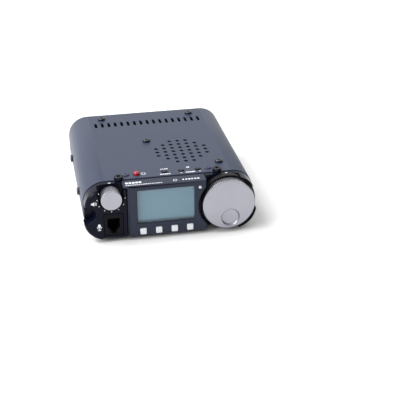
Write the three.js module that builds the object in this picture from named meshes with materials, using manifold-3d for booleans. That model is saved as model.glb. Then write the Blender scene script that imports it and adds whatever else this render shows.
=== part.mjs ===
/**
 * Compact mobile radio transceiver: a painted sheet-metal case closed by a moulded front panel,
 * with a large tuning knob, a volume knob, a display pod, push keys and rear sockets.
 *
 * Units are millimetres. While the pieces are made, x runs to the right, y runs back from the
 * front edge of the case, and z runs up from the underside of the case. The exported group is
 * then moved so that the origin lies under the middle of the whole object, at the feet.
 */
import * as THREE from 'three';
import { mergeVertices } from 'three/addons/utils/BufferGeometryUtils.js';
import Module from 'manifold-3d';

const wasm = await Module();
wasm.setup();

// ---------------------------------------------------------------- driving dimensions

const GAP = 0.3;
const SEAT = 0.1;

const CASE = { halfWidth: 60, height: 40, depth: 117, radius: 15, wall: 2 };
const CHASSIS = { seam: 13, wall: 2.5 };
const FLANGE = { outerInset: 2.3, innerInset: 3.8, bottom: 4, top: 26, front: 8, rear: 109 };
const REAR = { inset: 2.8, front: 113, back: 116, lipFront: 103, lipBottom: 34.7, lipHalfWidth: 42 };
const GASKET = { front: -1.1, back: -0.15, outerInset: 0.8, innerInset: 2.6 };
const FOOT = { radius: 5.5, toe: 5, height: 2, x: 38, yFront: 14, yRear: 103 };

const PANEL = { face: -11, floor: -4, back: -1.3, inset: 0.4, leftBlockBottom: 1.2, leftBlockEnd: -30.7 };
PANEL.rightBlockStart = 48.1;
const LIP = { bulge: 0.5, start: 48.1, top: 14.5 };
const SCALLOP = { x: -58.4, z: 20, radius: 6.2 };
const LUG = { x: 34.5, halfWidth: 2.4, back: 4.5, bottom: 33.5, top: 37.3 };

const POD = { left: -30.2, bottom: 0.9, top: 39.6, face: -11.8, back: -4.3, wall: 2, shelf: 37.7 };
POD.roofLeft = -32.8;
POD.roofRight = 24.6;
POD.footRight = 25.3;
const POD_BAY = { left: -26.5, right: 18, bottom: 1.5, top: 37.3 };
const SCREEN = { left: -23.6, right: 16.5, bottom: 10.3, top: 35.8, front: -10.8, back: -9.8 };
const LCD = { left: -26.2, right: 17.7, bottom: 8.5, top: 37, front: -9.5, back: -4.6 };
const SOFT_KEY = { xs: [-19.9, -8.9, 2.1, 13.1], z: 4.5, width: 4.4, height: 4.6, face: -12.4 };
const STATUS = { x: 20.3, z: 34.5, radius: 1.3, front: -12, back: -4.7 };

const TUNING = { x: 40.4, z: 20, radius: 18.75, face: -13.6, rear: -5, pocket: 20.9 };
const DIMPLE = { x: 1.1, z: -10.1, radius: 6.6, depth: 1.1 };
const COLLAR = { inner: 19.3, outer: 20, front: -8, back: -4.1 };
const VOLUME = { x: -41.3, z: 31.2, radius: 7.35, face: -13.6, rear: -4.9, pocket: 8.5, mouthFlare: 1 };
const SHAFT_RADIUS = 3;
const BORE_RADIUS = 3.1;

const MIC = { left: -46.7, right: -33.7, bottom: 3.4, top: 19.7, back: 3.5, cavityBack: 1 };
const MIC_STEPS = [
  { left: -44.5, right: -36, bottom: 9, top: 16.3 },
  { left: -43.1, right: -37.4, bottom: 7, top: 9.1 },
  { left: -41.9, right: -38.6, bottom: 4.7, top: 7.1 },
];
const CONTACTS = { count: 8, pitch: 0.9, width: 0.4, left: -43.6, right: -36.9, front: -6 };

const VENT = { count: 17, pitch: 5, width: 2, length: 8.25, y: 96.5 };
const SPEAKER = { x: 16.6, y: 38.9, pitch: 5.94, hole: 1.5, rows: [3, 5, 7, 7, 7, 5, 3] };
const POWER_BUTTON = { x: -21.3, y: 5.5, radius: 2.1, top: 42.4 };
const KEY = { radius: 1.8, top: 40.8, hole: 2.2 };
const KEYS = [
  { name: 'mode_key', x: -1.5, y: 6.4 },
  { name: 'band_down_key', x: 10.3, y: 6.2 },
  { name: 'band_up_key', x: 22.1, y: 6.4 },
];
const KEY_BOARD = { halfWidth: 31.6, front: 1.8, back: 11.5, bottom: 33.4, top: 34.6, switchTop: 35.2 };
const SWITCH_HALF = 1.8;
const KEY_SCREWS = [{ side: 'left', x: -28.8, y: 6.5 }, { side: 'right', x: 29.2, y: 6.5 }];

const BOARD = { halfWidth: 54, front: 12, back: 98, bottom: 10, top: 11.6 };
const PILLAR = { radius: 3.2, top: 37.7 };
const POST = { inner: 48, front: 99, back: 112.7, bottom: 4, top: 34 };

const PAN_HEAD = { radius: 2.8, height: 1.8, shank: 1.4, hole: 1.7 };
const CAP_HEAD = { radius: 3.1, height: 2.4, shank: 1.2, hole: 1.5, socket: 1.45, socketDepth: 1.5 };
const FLAT_HEAD = { radius: 2.5, height: 0.8, shank: 1.2, hole: 1.5 };
const COVER_SCREWS = [
  { name: 'cover_screw_rear_left', x: -34.5, y: 107.7, end: 32 },
  { name: 'cover_screw_rear_right', x: 34.5, y: 107.7, end: 32 },
  { name: 'cover_screw_middle', x: -6.3, y: 60, end: 30 },
  { name: 'cover_screw_front', x: 39, y: 15, end: 30 },
];
const EDGE_BOLT = { x: 34.5, y: 0.9, end: 34.2 };
const SIDE_SCREW = { ys: { front: 28, rear: 84 }, z: 20, length: 5.5 };
const REAR_SCREW = { x: 51.5, zs: { lower: 10, upper: 29 }, length: 11 };

const ANTENNA = { x: 40, z: 21, flange: 7, barrel: 4.8, bore: 4.05, end: 128 };
const GROUND = { x: 22, z: 20, radius: 2, nut: 5.2, nutFront: 117.2, nutBack: 121.5, end: 127 };
const POWER_JACK = { x: 4, z: 20, flange: 6.2, barrel: 4.8, bore: 3.1, pin: 1.05 };
const ACCESSORY = { x: -15, z: 20, flange: 6.5, bore: 4.4, core: 3.1 };
const KEY_JACK = { x: -32, z: 20, flange: 4.2, barrel: 3, bore: 1.8 };

const FRONT_END = TUNING.face;
const REAR_END = ANTENNA.end;

// ---------------------------------------------------------------- finishes

const FINISHES = {
  casePaint: { color: 0x686d7c, roughness: 0.5, metalness: 0.35 },
  panelPlastic: { color: 0x23232d, roughness: 0.55, metalness: 0 },
  blackPlastic: { color: 0x0c0c0f, roughness: 0.6, metalness: 0 },
  rubber: { color: 0x0a0a0b, roughness: 0.9, metalness: 0 },
  aluminium: { color: 0xafafb6, roughness: 0.35, metalness: 0.9 },
  steel: { color: 0x9a9ca0, roughness: 0.35, metalness: 0.9 },
  glass: { color: 0x9db4bd, roughness: 0.08, metalness: 0, transparent: true, opacity: 0.35 },
  screen: { color: 0x7894a0, roughness: 0.3, metalness: 0 },
  whiteKey: { color: 0xe1e4e1, roughness: 0.45, metalness: 0 },
  redKey: { color: 0xbe2832, roughness: 0.35, metalness: 0 },
  blackScrew: { color: 0x14151a, roughness: 0.35, metalness: 0.7 },
  circuitBoard: { color: 0x1d5a34, roughness: 0.5, metalness: 0 },
  brass: { color: 0xc8a048, roughness: 0.3, metalness: 1 },
  nickel: { color: 0xb9bbbe, roughness: 0.22, metalness: 1 },
  fluoropolymer: { color: 0xf0f0ec, roughness: 0.5, metalness: 0 },
  conePaper: { color: 0x1b1b1e, roughness: 0.9, metalness: 0 },
  magnet: { color: 0x3a3b3d, roughness: 0.6, metalness: 0.3 },
};

// ---------------------------------------------------------------- solids

/** Makes a solid from a closed geometry, after its shared corners are welded. */
function solidOf(geometry) {
  const bare = geometry.clone();
  bare.deleteAttribute('normal');
  bare.deleteAttribute('uv');
  const welded = mergeVertices(bare, 1e-4);
  const corners = [];
  for (let i = 0; i < welded.index.count; i += 3) {
    const [a, b, c] = [0, 1, 2].map((k) => welded.index.getX(i + k));
    if (a !== b && b !== c && c !== a) corners.push(a, b, c);
  }
  const vertProperties = new Float32Array(welded.getAttribute('position').array);
  return new wasm.Manifold(new wasm.Mesh({ numProp: 3, vertProperties, triVerts: new Uint32Array(corners) }));
}

/** Makes a named mesh from a solid. */
function part(name, solid, finish) {
  const { vertProperties, triVerts } = solid.getMesh();
  const geometry = new THREE.BufferGeometry();
  geometry.setAttribute('position', new THREE.BufferAttribute(new Float32Array(vertProperties), 3));
  geometry.setIndex(new THREE.BufferAttribute(new Uint32Array(triVerts), 1));
  geometry.computeVertexNormals();
  const mesh = new THREE.Mesh(geometry, new THREE.MeshStandardMaterial(finish));
  mesh.name = name;
  return mesh;
}

/** Puts meshes and groups into one group, at a place. */
function assembly(children, position = [0, 0, 0]) {
  const group = new THREE.Group();
  group.add(...children);
  group.position.set(...position);
  return group;
}

function joined(solids) {
  return solids.reduce((whole, solid) => whole.add(solid));
}

function cut(solid, cutters) {
  return cutters.reduce((rest, cutter) => rest.subtract(cutter), solid);
}

/** A block between two values on each axis. */
function block([x0, x1], [y0, y1], [z0, z1]) {
  const geometry = new THREE.BoxGeometry(x1 - x0, y1 - y0, z1 - z0);
  geometry.translate((x0 + x1) / 2, (y0 + y1) / 2, (z0 + z1) / 2);
  return solidOf(geometry);
}

/** Lays a geometry made about the y axis along x, y or z. */
function laid(geometry, axis) {
  if (axis === 'x') geometry.rotateZ(-Math.PI / 2);
  if (axis === 'z') geometry.rotateX(Math.PI / 2);
  return geometry;
}

/** A round bar along an axis, between two values on it; at gives its place on all three axes. */
function rod(axis, radius, [from, to], at = {}, segments = 16) {
  const geometry = new THREE.CylinderGeometry(radius, radius, to - from, segments);
  geometry.translate(0, (from + to) / 2, 0);
  laid(geometry, axis).translate(at.x ?? 0, at.y ?? 0, at.z ?? 0);
  return solidOf(geometry);
}

/** A turned piece: [radius, height] pairs that run outwards at the low end and inwards at the high end. */
function turned(axis, profile, at = {}, segments = 18) {
  const points = profile.map(([radius, height]) => new THREE.Vector2(radius, height));
  const geometry = laid(new THREE.LatheGeometry(points, segments), axis);
  geometry.translate(at.x ?? 0, at.y ?? 0, at.z ?? 0);
  return solidOf(geometry);
}

/** A plate with an outline drawn in x and z, between two values of y. */
function plate(outline, [front, back]) {
  const geometry = new THREE.ExtrudeGeometry(outline, {
    depth: back - front,
    bevelEnabled: false,
    curveSegments: 5,
  });
  geometry.rotateX(Math.PI / 2);
  geometry.translate(0, back, 0);
  return solidOf(geometry);
}

/** The case's outline, drawn inwards by an inset. */
function caseOutline(inset) {
  const x = CASE.halfWidth - inset;
  const top = CASE.height - inset;
  const radius = CASE.radius - inset;
  const cx = CASE.halfWidth - CASE.radius;
  const [low, high] = [CASE.radius, CASE.height - CASE.radius];
  const outline = new THREE.Shape();
  outline.moveTo(-cx, inset);
  outline.lineTo(cx, inset);
  outline.absarc(cx, low, radius, -Math.PI / 2, 0);
  outline.lineTo(x, high);
  outline.absarc(cx, high, radius, 0, Math.PI / 2);
  outline.lineTo(-cx, top);
  outline.absarc(-cx, high, radius, Math.PI / 2, Math.PI);
  outline.lineTo(-x, low);
  outline.absarc(-cx, low, radius, Math.PI, 1.5 * Math.PI);
  return outline;
}

function caseBar(inset, span) {
  return plate(caseOutline(inset), span);
}

/** A block as wide and deep as the whole object, between two heights. */
function slab(z0, z1) {
  return block([-90, 90], [-40, 160], [z0, z1]);
}

/** A slot with round ends along y, cut through the top of the case. */
function topSlot(x, y, width, length) {
  const half = (length - width) / 2;
  const span = [30, 50];
  const ends = [y - half, y + half].map((end) => rod('z', width / 2, span, { x, y: end }, 8));
  return joined([block([x - width / 2, x + width / 2], [y - half, y + half], span), ...ends]);
}

function topHole(radius, { x, y }, segments = 16) {
  return rod('z', radius, [20, 60], { x, y }, segments);
}

// ---------------------------------------------------------------- case

function ventSlots() {
  const first = -VENT.pitch * (VENT.count - 1) / 2;
  const xs = Array.from({ length: VENT.count }, (_, i) => first + i * VENT.pitch);
  return xs.map((x) => topSlot(x, VENT.y, VENT.width, VENT.length));
}

/** The speaker grille: rows of round holes that fill a disc. */
function grilleHoles() {
  const middle = (SPEAKER.rows.length - 1) / 2;
  return SPEAKER.rows.flatMap((count, row) => Array.from({ length: count }, (_, i) => {
    const x = SPEAKER.x + (i - (count - 1) / 2) * SPEAKER.pitch;
    const y = SPEAKER.y + (row - middle) * SPEAKER.pitch;
    return topHole(SPEAKER.hole, { x, y }, 8);
  }));
}

function sideScrewHoles() {
  const { ys, z } = SIDE_SCREW;
  return Object.values(ys).map((y) => rod('x', PAN_HEAD.hole, [-70, 70], { y, z }, 12));
}

function edgeBoltHoles() {
  return [-1, 1].map((side) => topHole(CAP_HEAD.hole, { x: side * EDGE_BOLT.x, y: EDGE_BOLT.y }, 12));
}

function topCover() {
  const span = [0, CASE.depth];
  const shell = caseBar(0, span).subtract(caseBar(CASE.wall, [-1, CASE.depth + 1]));
  return cut(shell.intersect(slab(CHASSIS.seam, CASE.height + 1)), [
    ...ventSlots(),
    ...grilleHoles(),
    ...KEYS.map((key) => topHole(KEY.hole, key)),
    topHole(POWER_BUTTON.radius + GAP, POWER_BUTTON),
    ...COVER_SCREWS.map((screw) => topHole(PAN_HEAD.hole, screw, 12)),
    ...KEY_SCREWS.map((screw) => topHole(FLAT_HEAD.hole, screw, 12)),
    ...edgeBoltHoles(),
    ...sideScrewHoles(),
  ]);
}

/** A threaded pillar on the chassis floor that takes a cover screw. */
function pillar(screw) {
  const post = rod('z', PILLAR.radius, [CHASSIS.wall - 0.5, PILLAR.top], screw, 16);
  return post.subtract(rod('z', PAN_HEAD.hole, [screw.end - 1, PILLAR.top + 1], screw, 12));
}

/** Upright posts in the rear corners that take the rear panel's screws. */
function rearPosts() {
  const inside = caseBar(FLANGE.outerInset, [POST.front, POST.back]);
  const posts = [-1, 1].map((side) => {
    const xs = side < 0 ? [-70, -POST.inner] : [POST.inner, 70];
    return block(xs, [POST.front, POST.back], [POST.bottom, POST.top]).intersect(inside);
  });
  const holes = [-1, 1].flatMap((side) => Object.values(REAR_SCREW.zs).map((z) => {
    const from = REAR.back - REAR_SCREW.length - 1;
    return rod('y', PAN_HEAD.hole, [from, POST.back + 1], { x: side * REAR_SCREW.x, z }, 12);
  }));
  return cut(joined(posts), holes);
}

function bottomCover() {
  const span = [0, CASE.depth];
  const tray = caseBar(0, span).subtract(caseBar(CHASSIS.wall, [-1, CASE.depth + 1]));
  const flange = caseBar(FLANGE.outerInset, [FLANGE.front, FLANGE.rear])
    .subtract(caseBar(FLANGE.innerInset, span));
  const stands = [-1, 1].flatMap((side) => [20, 92].map((y) => {
    return rod('z', 3, [CHASSIS.wall - 0.5, BOARD.bottom - SEAT], { x: side * 44, y }, 12);
  }));
  const shell = joined([
    tray.intersect(slab(-1, CHASSIS.seam - GAP)),
    flange.intersect(slab(FLANGE.bottom, FLANGE.top)),
    ...stands,
    pillar(COVER_SCREWS[2]),
    pillar(COVER_SCREWS[3]),
  ]);
  return cut(shell, sideScrewHoles()).add(rearPosts());
}

/** The rear panel, with a lip folded forwards under the top cover. */
function rearPanel() {
  const lipSpan = [REAR.lipFront, REAR.back - 1];
  const lip = block([-REAR.lipHalfWidth, REAR.lipHalfWidth], lipSpan, [REAR.lipBottom, PILLAR.top]);
  const face = caseBar(REAR.inset, [REAR.front, REAR.back]).subtract(slab(PILLAR.top, 60));
  const through = [REAR.front - 1, REAR.back + 1];
  const socketHoles = [
    rod('y', 4.9, through, ANTENNA),
    rod('y', GROUND.radius + GAP, through, GROUND),
    rod('y', POWER_JACK.barrel + GAP, through, POWER_JACK),
    rod('y', ACCESSORY.flange - 1 + GAP, through, ACCESSORY),
    rod('y', KEY_JACK.barrel + GAP, through, KEY_JACK),
  ];
  const screwHoles = [-1, 1].flatMap((side) => Object.values(REAR_SCREW.zs).map((z) => {
    return rod('y', PAN_HEAD.hole, through, { x: side * REAR_SCREW.x, z }, 12);
  }));
  const lipHoles = COVER_SCREWS.slice(0, 2).map((screw) => topHole(PAN_HEAD.hole, screw, 12));
  return cut(lip.add(face), [...socketHoles, ...screwHoles, ...lipHoles]);
}

function frontGasket() {
  const ring = caseBar(GASKET.outerInset, [GASKET.front, GASKET.back]);
  return cut(ring.subtract(caseBar(GASKET.innerInset, [GASKET.front - 1, GASKET.back + 1])), edgeBoltHoles());
}

function foot() {
  const { radius, toe, height } = FOOT;
  return turned('z', [[0, -height], [toe, -height], [radius, -0.4], [radius, -SEAT], [0, -SEAT]], {}, 16);
}

function caseParts() {
  const rows = [['front', FOOT.yFront], ['rear', FOOT.yRear]];
  const feet = [-1, 1].flatMap((side) => rows.map(([end, y]) => {
    const mesh = part(`foot_${end}_${side < 0 ? 'left' : 'right'}`, foot(), FINISHES.rubber);
    mesh.position.set(side * FOOT.x, y, 0);
    return mesh;
  }));
  return assembly([
    part('top_cover', topCover(), FINISHES.casePaint),
    part('bottom_cover', bottomCover(), FINISHES.casePaint),
    part('rear_panel', rearPanel(), FINISHES.casePaint),
    part('front_gasket', frontGasket(), FINISHES.rubber),
    ...feet,
  ]);
}

// ---------------------------------------------------------------- front panel and display pod

/** A screw lug that reaches back from the front panel, under the case's top. */
function edgeLug(side) {
  const xs = [side * LUG.x - LUG.halfWidth, side * LUG.x + LUG.halfWidth];
  return block(xs, [PANEL.back - 0.5, LUG.back], [LUG.bottom, LUG.top]);
}

/** The pocket round the volume knob, open to the top, where its left wall leans outwards a little. */
function volumePocket() {
  const span = [PANEL.face - 1, PANEL.floor];
  const well = rod('y', VOLUME.pocket, span, VOLUME, 24);
  const [left, right] = [VOLUME.x - VOLUME.pocket, VOLUME.x + VOLUME.pocket];
  const mouth = new THREE.Shape();
  mouth.moveTo(left, VOLUME.z);
  mouth.lineTo(right, VOLUME.z);
  mouth.lineTo(right, CASE.height + 1);
  mouth.lineTo(left - VOLUME.mouthFlare, CASE.height + 1);
  return well.add(plate(mouth, span));
}

/** The curved lips round the panel's lower corners, which stand out a little past the case. */
function cornerLips() {
  const bar = caseBar(-LIP.bulge, [PANEL.face, PANEL.floor + 0.5]);
  const sides = [[-70, -LIP.start], [LIP.start, 70]];
  return sides.map((xs) => bar.intersect(block(xs, [-20, 0], [-1, LIP.top])));
}

function frontPanel() {
  const [leftLip, rightLip] = cornerLips();
  const face = caseBar(PANEL.inset, [PANEL.face, PANEL.floor + 0.5]);
  const left = cut(face.intersect(block([-70, PANEL.leftBlockEnd], [-20, 0], [-1, 41])), [
    block([-LIP.start, 0], [-20, 0], [-1, PANEL.leftBlockBottom]),
  ]);
  const leftBlock = cut(left.add(leftLip), [
    volumePocket(),
    rod('y', SCALLOP.radius, [PANEL.face - 1, PANEL.floor], SCALLOP, 20),
  ]);
  const right = face.intersect(block([PANEL.rightBlockStart, 70], [-20, 0], [-1, 41])).add(rightLip);
  const corners = right.subtract(rod('y', TUNING.pocket, [PANEL.face - 1, PANEL.floor], TUNING, 64));
  const base = caseBar(PANEL.inset, [PANEL.floor, PANEL.back]);
  const screenHole = block([LCD.left + 2, LCD.right - 2], [-20, 0], [LCD.bottom + 2, LCD.top - 2]);
  const roofRecess = block([POD.roofLeft - GAP, POD.roofRight + GAP], [-20, 0], [POD.shelf - GAP, 41]);
  const socketRecess = block([MIC.left - GAP, MIC.right + GAP], [-20, 0], [MIC.bottom - GAP, MIC.top + GAP]);
  const shell = cut(joined([base, leftBlock, corners]), [
    screenHole,
    roofRecess,
    socketRecess,
    rod('y', 4.2, [-20, 0], VOLUME),
    rod('y', 4.5, [-20, 0], TUNING),
  ]);
  const lugs = [edgeLug(-1), edgeLug(1)];
  return cut(joined([shell, ...lugs]), edgeBoltHoles());
}

/** The pod's face outline, with a hollow on its right that follows the tuning knob's pocket. */
function podOutline() {
  const upper = Math.acos((TUNING.x - POD.roofRight) / TUNING.pocket);
  const lower = Math.acos((TUNING.x - POD.footRight) / TUNING.pocket);
  const outline = new THREE.Shape();
  outline.moveTo(POD.left, POD.bottom);
  outline.lineTo(POD.footRight - 1, POD.bottom);
  outline.absarc(POD.footRight - 1, POD.bottom + 1, 1, -Math.PI / 2, 0);
  outline.absarc(TUNING.x, TUNING.z, TUNING.pocket, Math.PI + lower, Math.PI - upper, true);
  outline.lineTo(POD.roofRight, POD.top);
  outline.lineTo(POD.left, POD.top);
  return outline;
}

function displayBezel() {
  const roof = block([POD.roofLeft, POD.roofRight], [POD.face, PANEL.back - SEAT], [POD.shelf, POD.top]);
  const through = [POD.face - 1, POD.back + 1];
  const keyHoles = SOFT_KEY.xs.map((x) => {
    const [halfWidth, halfHeight] = [SOFT_KEY.width / 2 + GAP, SOFT_KEY.height / 2 + GAP];
    return block([x - halfWidth, x + halfWidth], through, [SOFT_KEY.z - halfHeight, SOFT_KEY.z + halfHeight]);
  });
  return cut(plate(podOutline(), [POD.face, POD.back]).add(roof), [
    block([POD_BAY.left, POD_BAY.right], [POD.face + POD.wall, POD.back + 1], [POD_BAY.bottom, POD_BAY.top]),
    block([SCREEN.left, SCREEN.right], through, [SCREEN.bottom, SCREEN.top]),
    rod('y', STATUS.radius + GAP, through, STATUS, 16),
    ...keyHoles,
    ...edgeBoltHoles(),
  ]);
}

/** A square key cap with a wider heel that keeps it behind the pod's face. */
function softKey() {
  const [halfWidth, halfHeight] = [SOFT_KEY.width / 2, SOFT_KEY.height / 2];
  const heelFront = POD.face + POD.wall + 0.4;
  const cap = block([-halfWidth, halfWidth], [SOFT_KEY.face, heelFront + 0.1], [-halfHeight, halfHeight]);
  const [heelX, heelZ] = [halfWidth + 0.7, halfHeight + 0.5];
  return cap.add(block([-heelX, heelX], [heelFront, heelFront + 0.8], [-heelZ, heelZ]));
}

/** A strip of circuit board with one small switch behind each soft key. */
function softKeyBoard() {
  const strip = block([-23.5, 17], [-6.2, -4.6], [1.8, 8.1]);
  const zs = [SOFT_KEY.z - SWITCH_HALF, SOFT_KEY.z + SWITCH_HALF];
  const switches = SOFT_KEY.xs.map((x) => block([x - SWITCH_HALF, x + SWITCH_HALF], [-7.8, -6], zs));
  return joined([strip, ...switches]);
}

function statusLight() {
  const { radius, front, back } = STATUS;
  const dome = [[0, front], [radius * 0.6, front + 0.15], [radius, front + 0.7]];
  const profile = [...dome, [radius, back], [0, back]];
  return turned('y', profile, STATUS, 12);
}

function frontParts() {
  const keys = SOFT_KEY.xs.map((x, i) => {
    const mesh = part(`function_key_${i + 1}`, softKey(), FINISHES.whiteKey);
    mesh.position.set(x, 0, SOFT_KEY.z);
    return mesh;
  });
  const glassX = [SCREEN.left + SEAT, SCREEN.right - SEAT];
  const glass = block(glassX, [SCREEN.front, SCREEN.back], [SCREEN.bottom + SEAT, SCREEN.top - SEAT]);
  const lcd = block([LCD.left, LCD.right], [LCD.front, LCD.back], [LCD.bottom, LCD.top]);
  return assembly([
    part('front_panel', frontPanel(), FINISHES.panelPlastic),
    part('display_bezel', displayBezel(), FINISHES.panelPlastic),
    part('display_window', glass, FINISHES.glass),
    part('lcd_module', lcd, FINISHES.screen),
    part('function_keypad', softKeyBoard(), FINISHES.circuitBoard),
    part('status_light', statusLight(), FINISHES.whiteKey),
    ...keys,
  ]);
}

// ---------------------------------------------------------------- knobs, each on its own axis

/** A hollow turned knob with a hub bored for its shaft. */
function knobBody({ radius, face, rear }, { rim, hub, hubRear, roof, segments }) {
  return turned('y', [
    [0, face], [radius - 0.6, face], [radius, face + 0.6], [radius, rear], [rim, rear],
    [rim, face + roof], [hub, face + roof], [hub, hubRear], [BORE_RADIUS, hubRear],
    [BORE_RADIUS, face + roof - 1], [0, face + roof - 1],
  ], {}, segments);
}

/** The shallow finger dish in the tuning knob's face. */
function fingerDish() {
  const { radius, depth } = DIMPLE;
  const low = TUNING.face - 1;
  const floor = TUNING.face + depth;
  const profile = [[0, low], [radius, low], [radius, floor - 0.7], [radius - 1.4, floor - 0.2], [0, floor]];
  return turned('y', profile, DIMPLE, 24);
}

/** A potentiometer or encoder: a round can with a threaded bushing that the shaft turns in. */
function shaftSwitch({ bushing, bushingFront, can, canFront, canBack }) {
  return turned('y', [
    [BORE_RADIUS, bushingFront], [bushing, bushingFront], [bushing, canFront], [can, canFront],
    [can, canBack], [0, canBack], [0, canFront + 0.6], [BORE_RADIUS, canFront + 0.6],
    [BORE_RADIUS, bushingFront],
  ]);
}

function tuningParts() {
  const collar = turned('y', [
    [COLLAR.inner, COLLAR.front], [COLLAR.outer, COLLAR.front], [COLLAR.outer, COLLAR.back],
    [COLLAR.inner, COLLAR.back], [COLLAR.inner, COLLAR.front],
  ], {}, 48);
  const knob = knobBody(TUNING, { rim: 16.5, hub: 6.5, hubRear: -6, roof: 3.4, segments: 48 });
  const encoder = shaftSwitch({ bushing: 4.2, bushingFront: -5.2, can: 9, canFront: 2.2, canBack: 9 });
  return assembly([
    part('tuning_knob', knob.subtract(fingerDish()), FINISHES.aluminium),
    part('tuning_shaft', rod('y', SHAFT_RADIUS, [TUNING.face + 2.7, 2.5]), FINISHES.steel),
    part('tuning_encoder', encoder, FINISHES.nickel),
    part('tuning_collar', collar, FINISHES.blackPlastic),
  ], [TUNING.x, 0, TUNING.z]);
}

function volumeParts() {
  const knob = knobBody(VOLUME, { rim: 6, hub: 4.6, hubRear: -5.4, roof: 3.2, segments: 28 });
  const control = shaftSwitch({ bushing: 3.9, bushingFront: -4.6, can: 4.8, canFront: 4.7, canBack: 12 });
  return assembly([
    part('volume_knob', knob, FINISHES.aluminium),
    part('volume_shaft', rod('y', SHAFT_RADIUS, [VOLUME.face + 2.5, 5]), FINISHES.steel),
    part('volume_control', control, FINISHES.nickel),
  ], [VOLUME.x, 0, VOLUME.z]);
}

// ---------------------------------------------------------------- microphone socket

function microphoneJack() {
  const body = block([MIC.left, MIC.right], [PANEL.face, MIC.back], [MIC.bottom, MIC.top]);
  const steps = MIC_STEPS.map(({ left, right, bottom, top }) => {
    return block([left, right], [PANEL.face - 1, MIC.cavityBack], [bottom, top]);
  });
  return cut(body, steps);
}

/** The row of spring contacts on the socket's upper side, on their carrier. */
function micContacts() {
  const { count, pitch, width, left, right, front } = CONTACTS;
  const top = MIC_STEPS[0].top - GAP;
  const carrier = block([left, right], [-0.8, MIC.cavityBack - GAP], [top - 2.8, top]);
  const first = (left + right) / 2 - pitch * (count - 1) / 2;
  const springs = Array.from({ length: count }, (_, i) => {
    const x = first + i * pitch;
    return block([x - width / 2, x + width / 2], [front, -0.7], [top - 0.7, top - 0.3]);
  });
  return joined([carrier, ...springs]);
}

function microphoneParts() {
  return assembly([
    part('microphone_jack', microphoneJack(), FINISHES.blackPlastic),
    part('mic_contacts', micContacts(), FINISHES.brass),
  ]);
}

// ---------------------------------------------------------------- keys on the top

function powerButton() {
  const { radius, top } = POWER_BUTTON;
  return turned('z', [
    [0, 36.4], [radius + 0.7, 36.4], [radius + 0.7, 37.4], [radius, 37.4], [radius, top - 1.2],
    [radius * 0.85, top - 0.5], [radius * 0.5, top - 0.12], [0, top],
  ], {}, 16);
}

function topKey() {
  const { radius, top } = KEY;
  return turned('z', [
    [0, 36.4], [radius + 0.8, 36.4], [radius + 0.8, 37.4], [radius, 37.4],
    [radius, top - 0.2], [radius - 0.3, top], [0, top],
  ], {}, 12);
}

/** The small board under the keys, with a switch for each and a spacer round each screw. */
function keyBoard() {
  const { halfWidth, front, back, bottom, top, switchTop } = KEY_BOARD;
  const board = block([-halfWidth, halfWidth], [front, back], [bottom, top]);
  const switches = [POWER_BUTTON, ...KEYS].map(({ x, y }) => {
    const across = [x - SWITCH_HALF, x + SWITCH_HALF];
    return block(across, [y - SWITCH_HALF, y + SWITCH_HALF], [top - 0.1, switchTop]);
  });
  const spacers = KEY_SCREWS.map((screw) => rod('z', 2.3, [top - 0.1, PILLAR.top], screw, 16));
  const screwHoles = KEY_SCREWS.map((screw) => topHole(FLAT_HEAD.hole, screw, 12));
  return cut(joined([board, ...switches, ...spacers]), screwHoles);
}

function topKeyParts() {
  const button = part('power_button', powerButton(), FINISHES.redKey);
  button.position.set(POWER_BUTTON.x, POWER_BUTTON.y, 0);
  const keys = KEYS.map(({ name, x, y }) => {
    const mesh = part(name, topKey(), FINISHES.blackPlastic);
    mesh.position.set(x, y, 0);
    return mesh;
  });
  return assembly([button, ...keys, part('key_board', keyBoard(), FINISHES.circuitBoard)]);
}

// ---------------------------------------------------------------- speaker and boards inside

function speakerParts() {
  const frame = turned('z', [
    [5.2, 25.5], [9, 25.5], [9, 27], [18, 35.8], [20, 36.2], [20, 37.7],
    [17.3, 37.7], [17.3, 36.8], [7.6, 28], [5.2, 26.8], [5.2, 25.5],
  ]);
  const cone = turned('z', [
    [0, 29.2], [4.2, 29.2], [4.2, 26], [4.8, 26], [5, 29], [15.6, 36], [16.8, 37],
    [16.8, 37.4], [16.2, 37.6], [15.2, 36.6], [4.8, 29.8], [3, 31], [0, 31.5],
  ]);
  const magnet = turned('z', [[0, 17], [11, 17], [11, 25.2], [3.9, 25.2], [3.9, 27.8], [0, 27.8]]);
  return assembly([
    part('speaker_frame', frame, FINISHES.steel),
    part('speaker_cone', cone, FINISHES.conePaper),
    part('speaker_magnet', magnet, FINISHES.magnet),
  ], [SPEAKER.x, SPEAKER.y, 0]);
}

/** The main board, with its larger components and holes for the chassis pillars. */
function mainBoard() {
  const { halfWidth, front, back, bottom, top } = BOARD;
  const base = top - 0.1;
  return cut(joined([
    block([-halfWidth, halfWidth], [front, back], [bottom, top]),
    block([-40, -24], [24, 40], [base, 13.4]),
    block([-8, 4], [22, 34], [base, 13.2]),
    block([-44, -30], [60, 74], [base, 15]),
    block([10, 26], [66, 78], [base, 14]),
    block([34, 46], [56, 76], [base, 15.4]),
  ]), [COVER_SCREWS[2], COVER_SCREWS[3]].map((screw) => rod('z', PILLAR.radius + GAP, [0, 20], screw, 16)));
}

/** The finned block that takes the heat of the output stage, under the vents. */
function heatSpreader() {
  const span = [84, 101.5];
  const fins = Array.from({ length: 13 }, (_, i) => {
    const x = (i - 6) * 7;
    return block([x - 1, x + 1], span, [15, 34]);
  });
  return joined([block([-43, 43], span, [BOARD.top + GAP, 16]), ...fins]);
}

function innerParts() {
  return assembly([
    part('main_board', mainBoard(), FINISHES.circuitBoard),
    part('heat_spreader', heatSpreader(), FINISHES.aluminium),
  ]);
}

// ---------------------------------------------------------------- rear sockets

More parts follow.
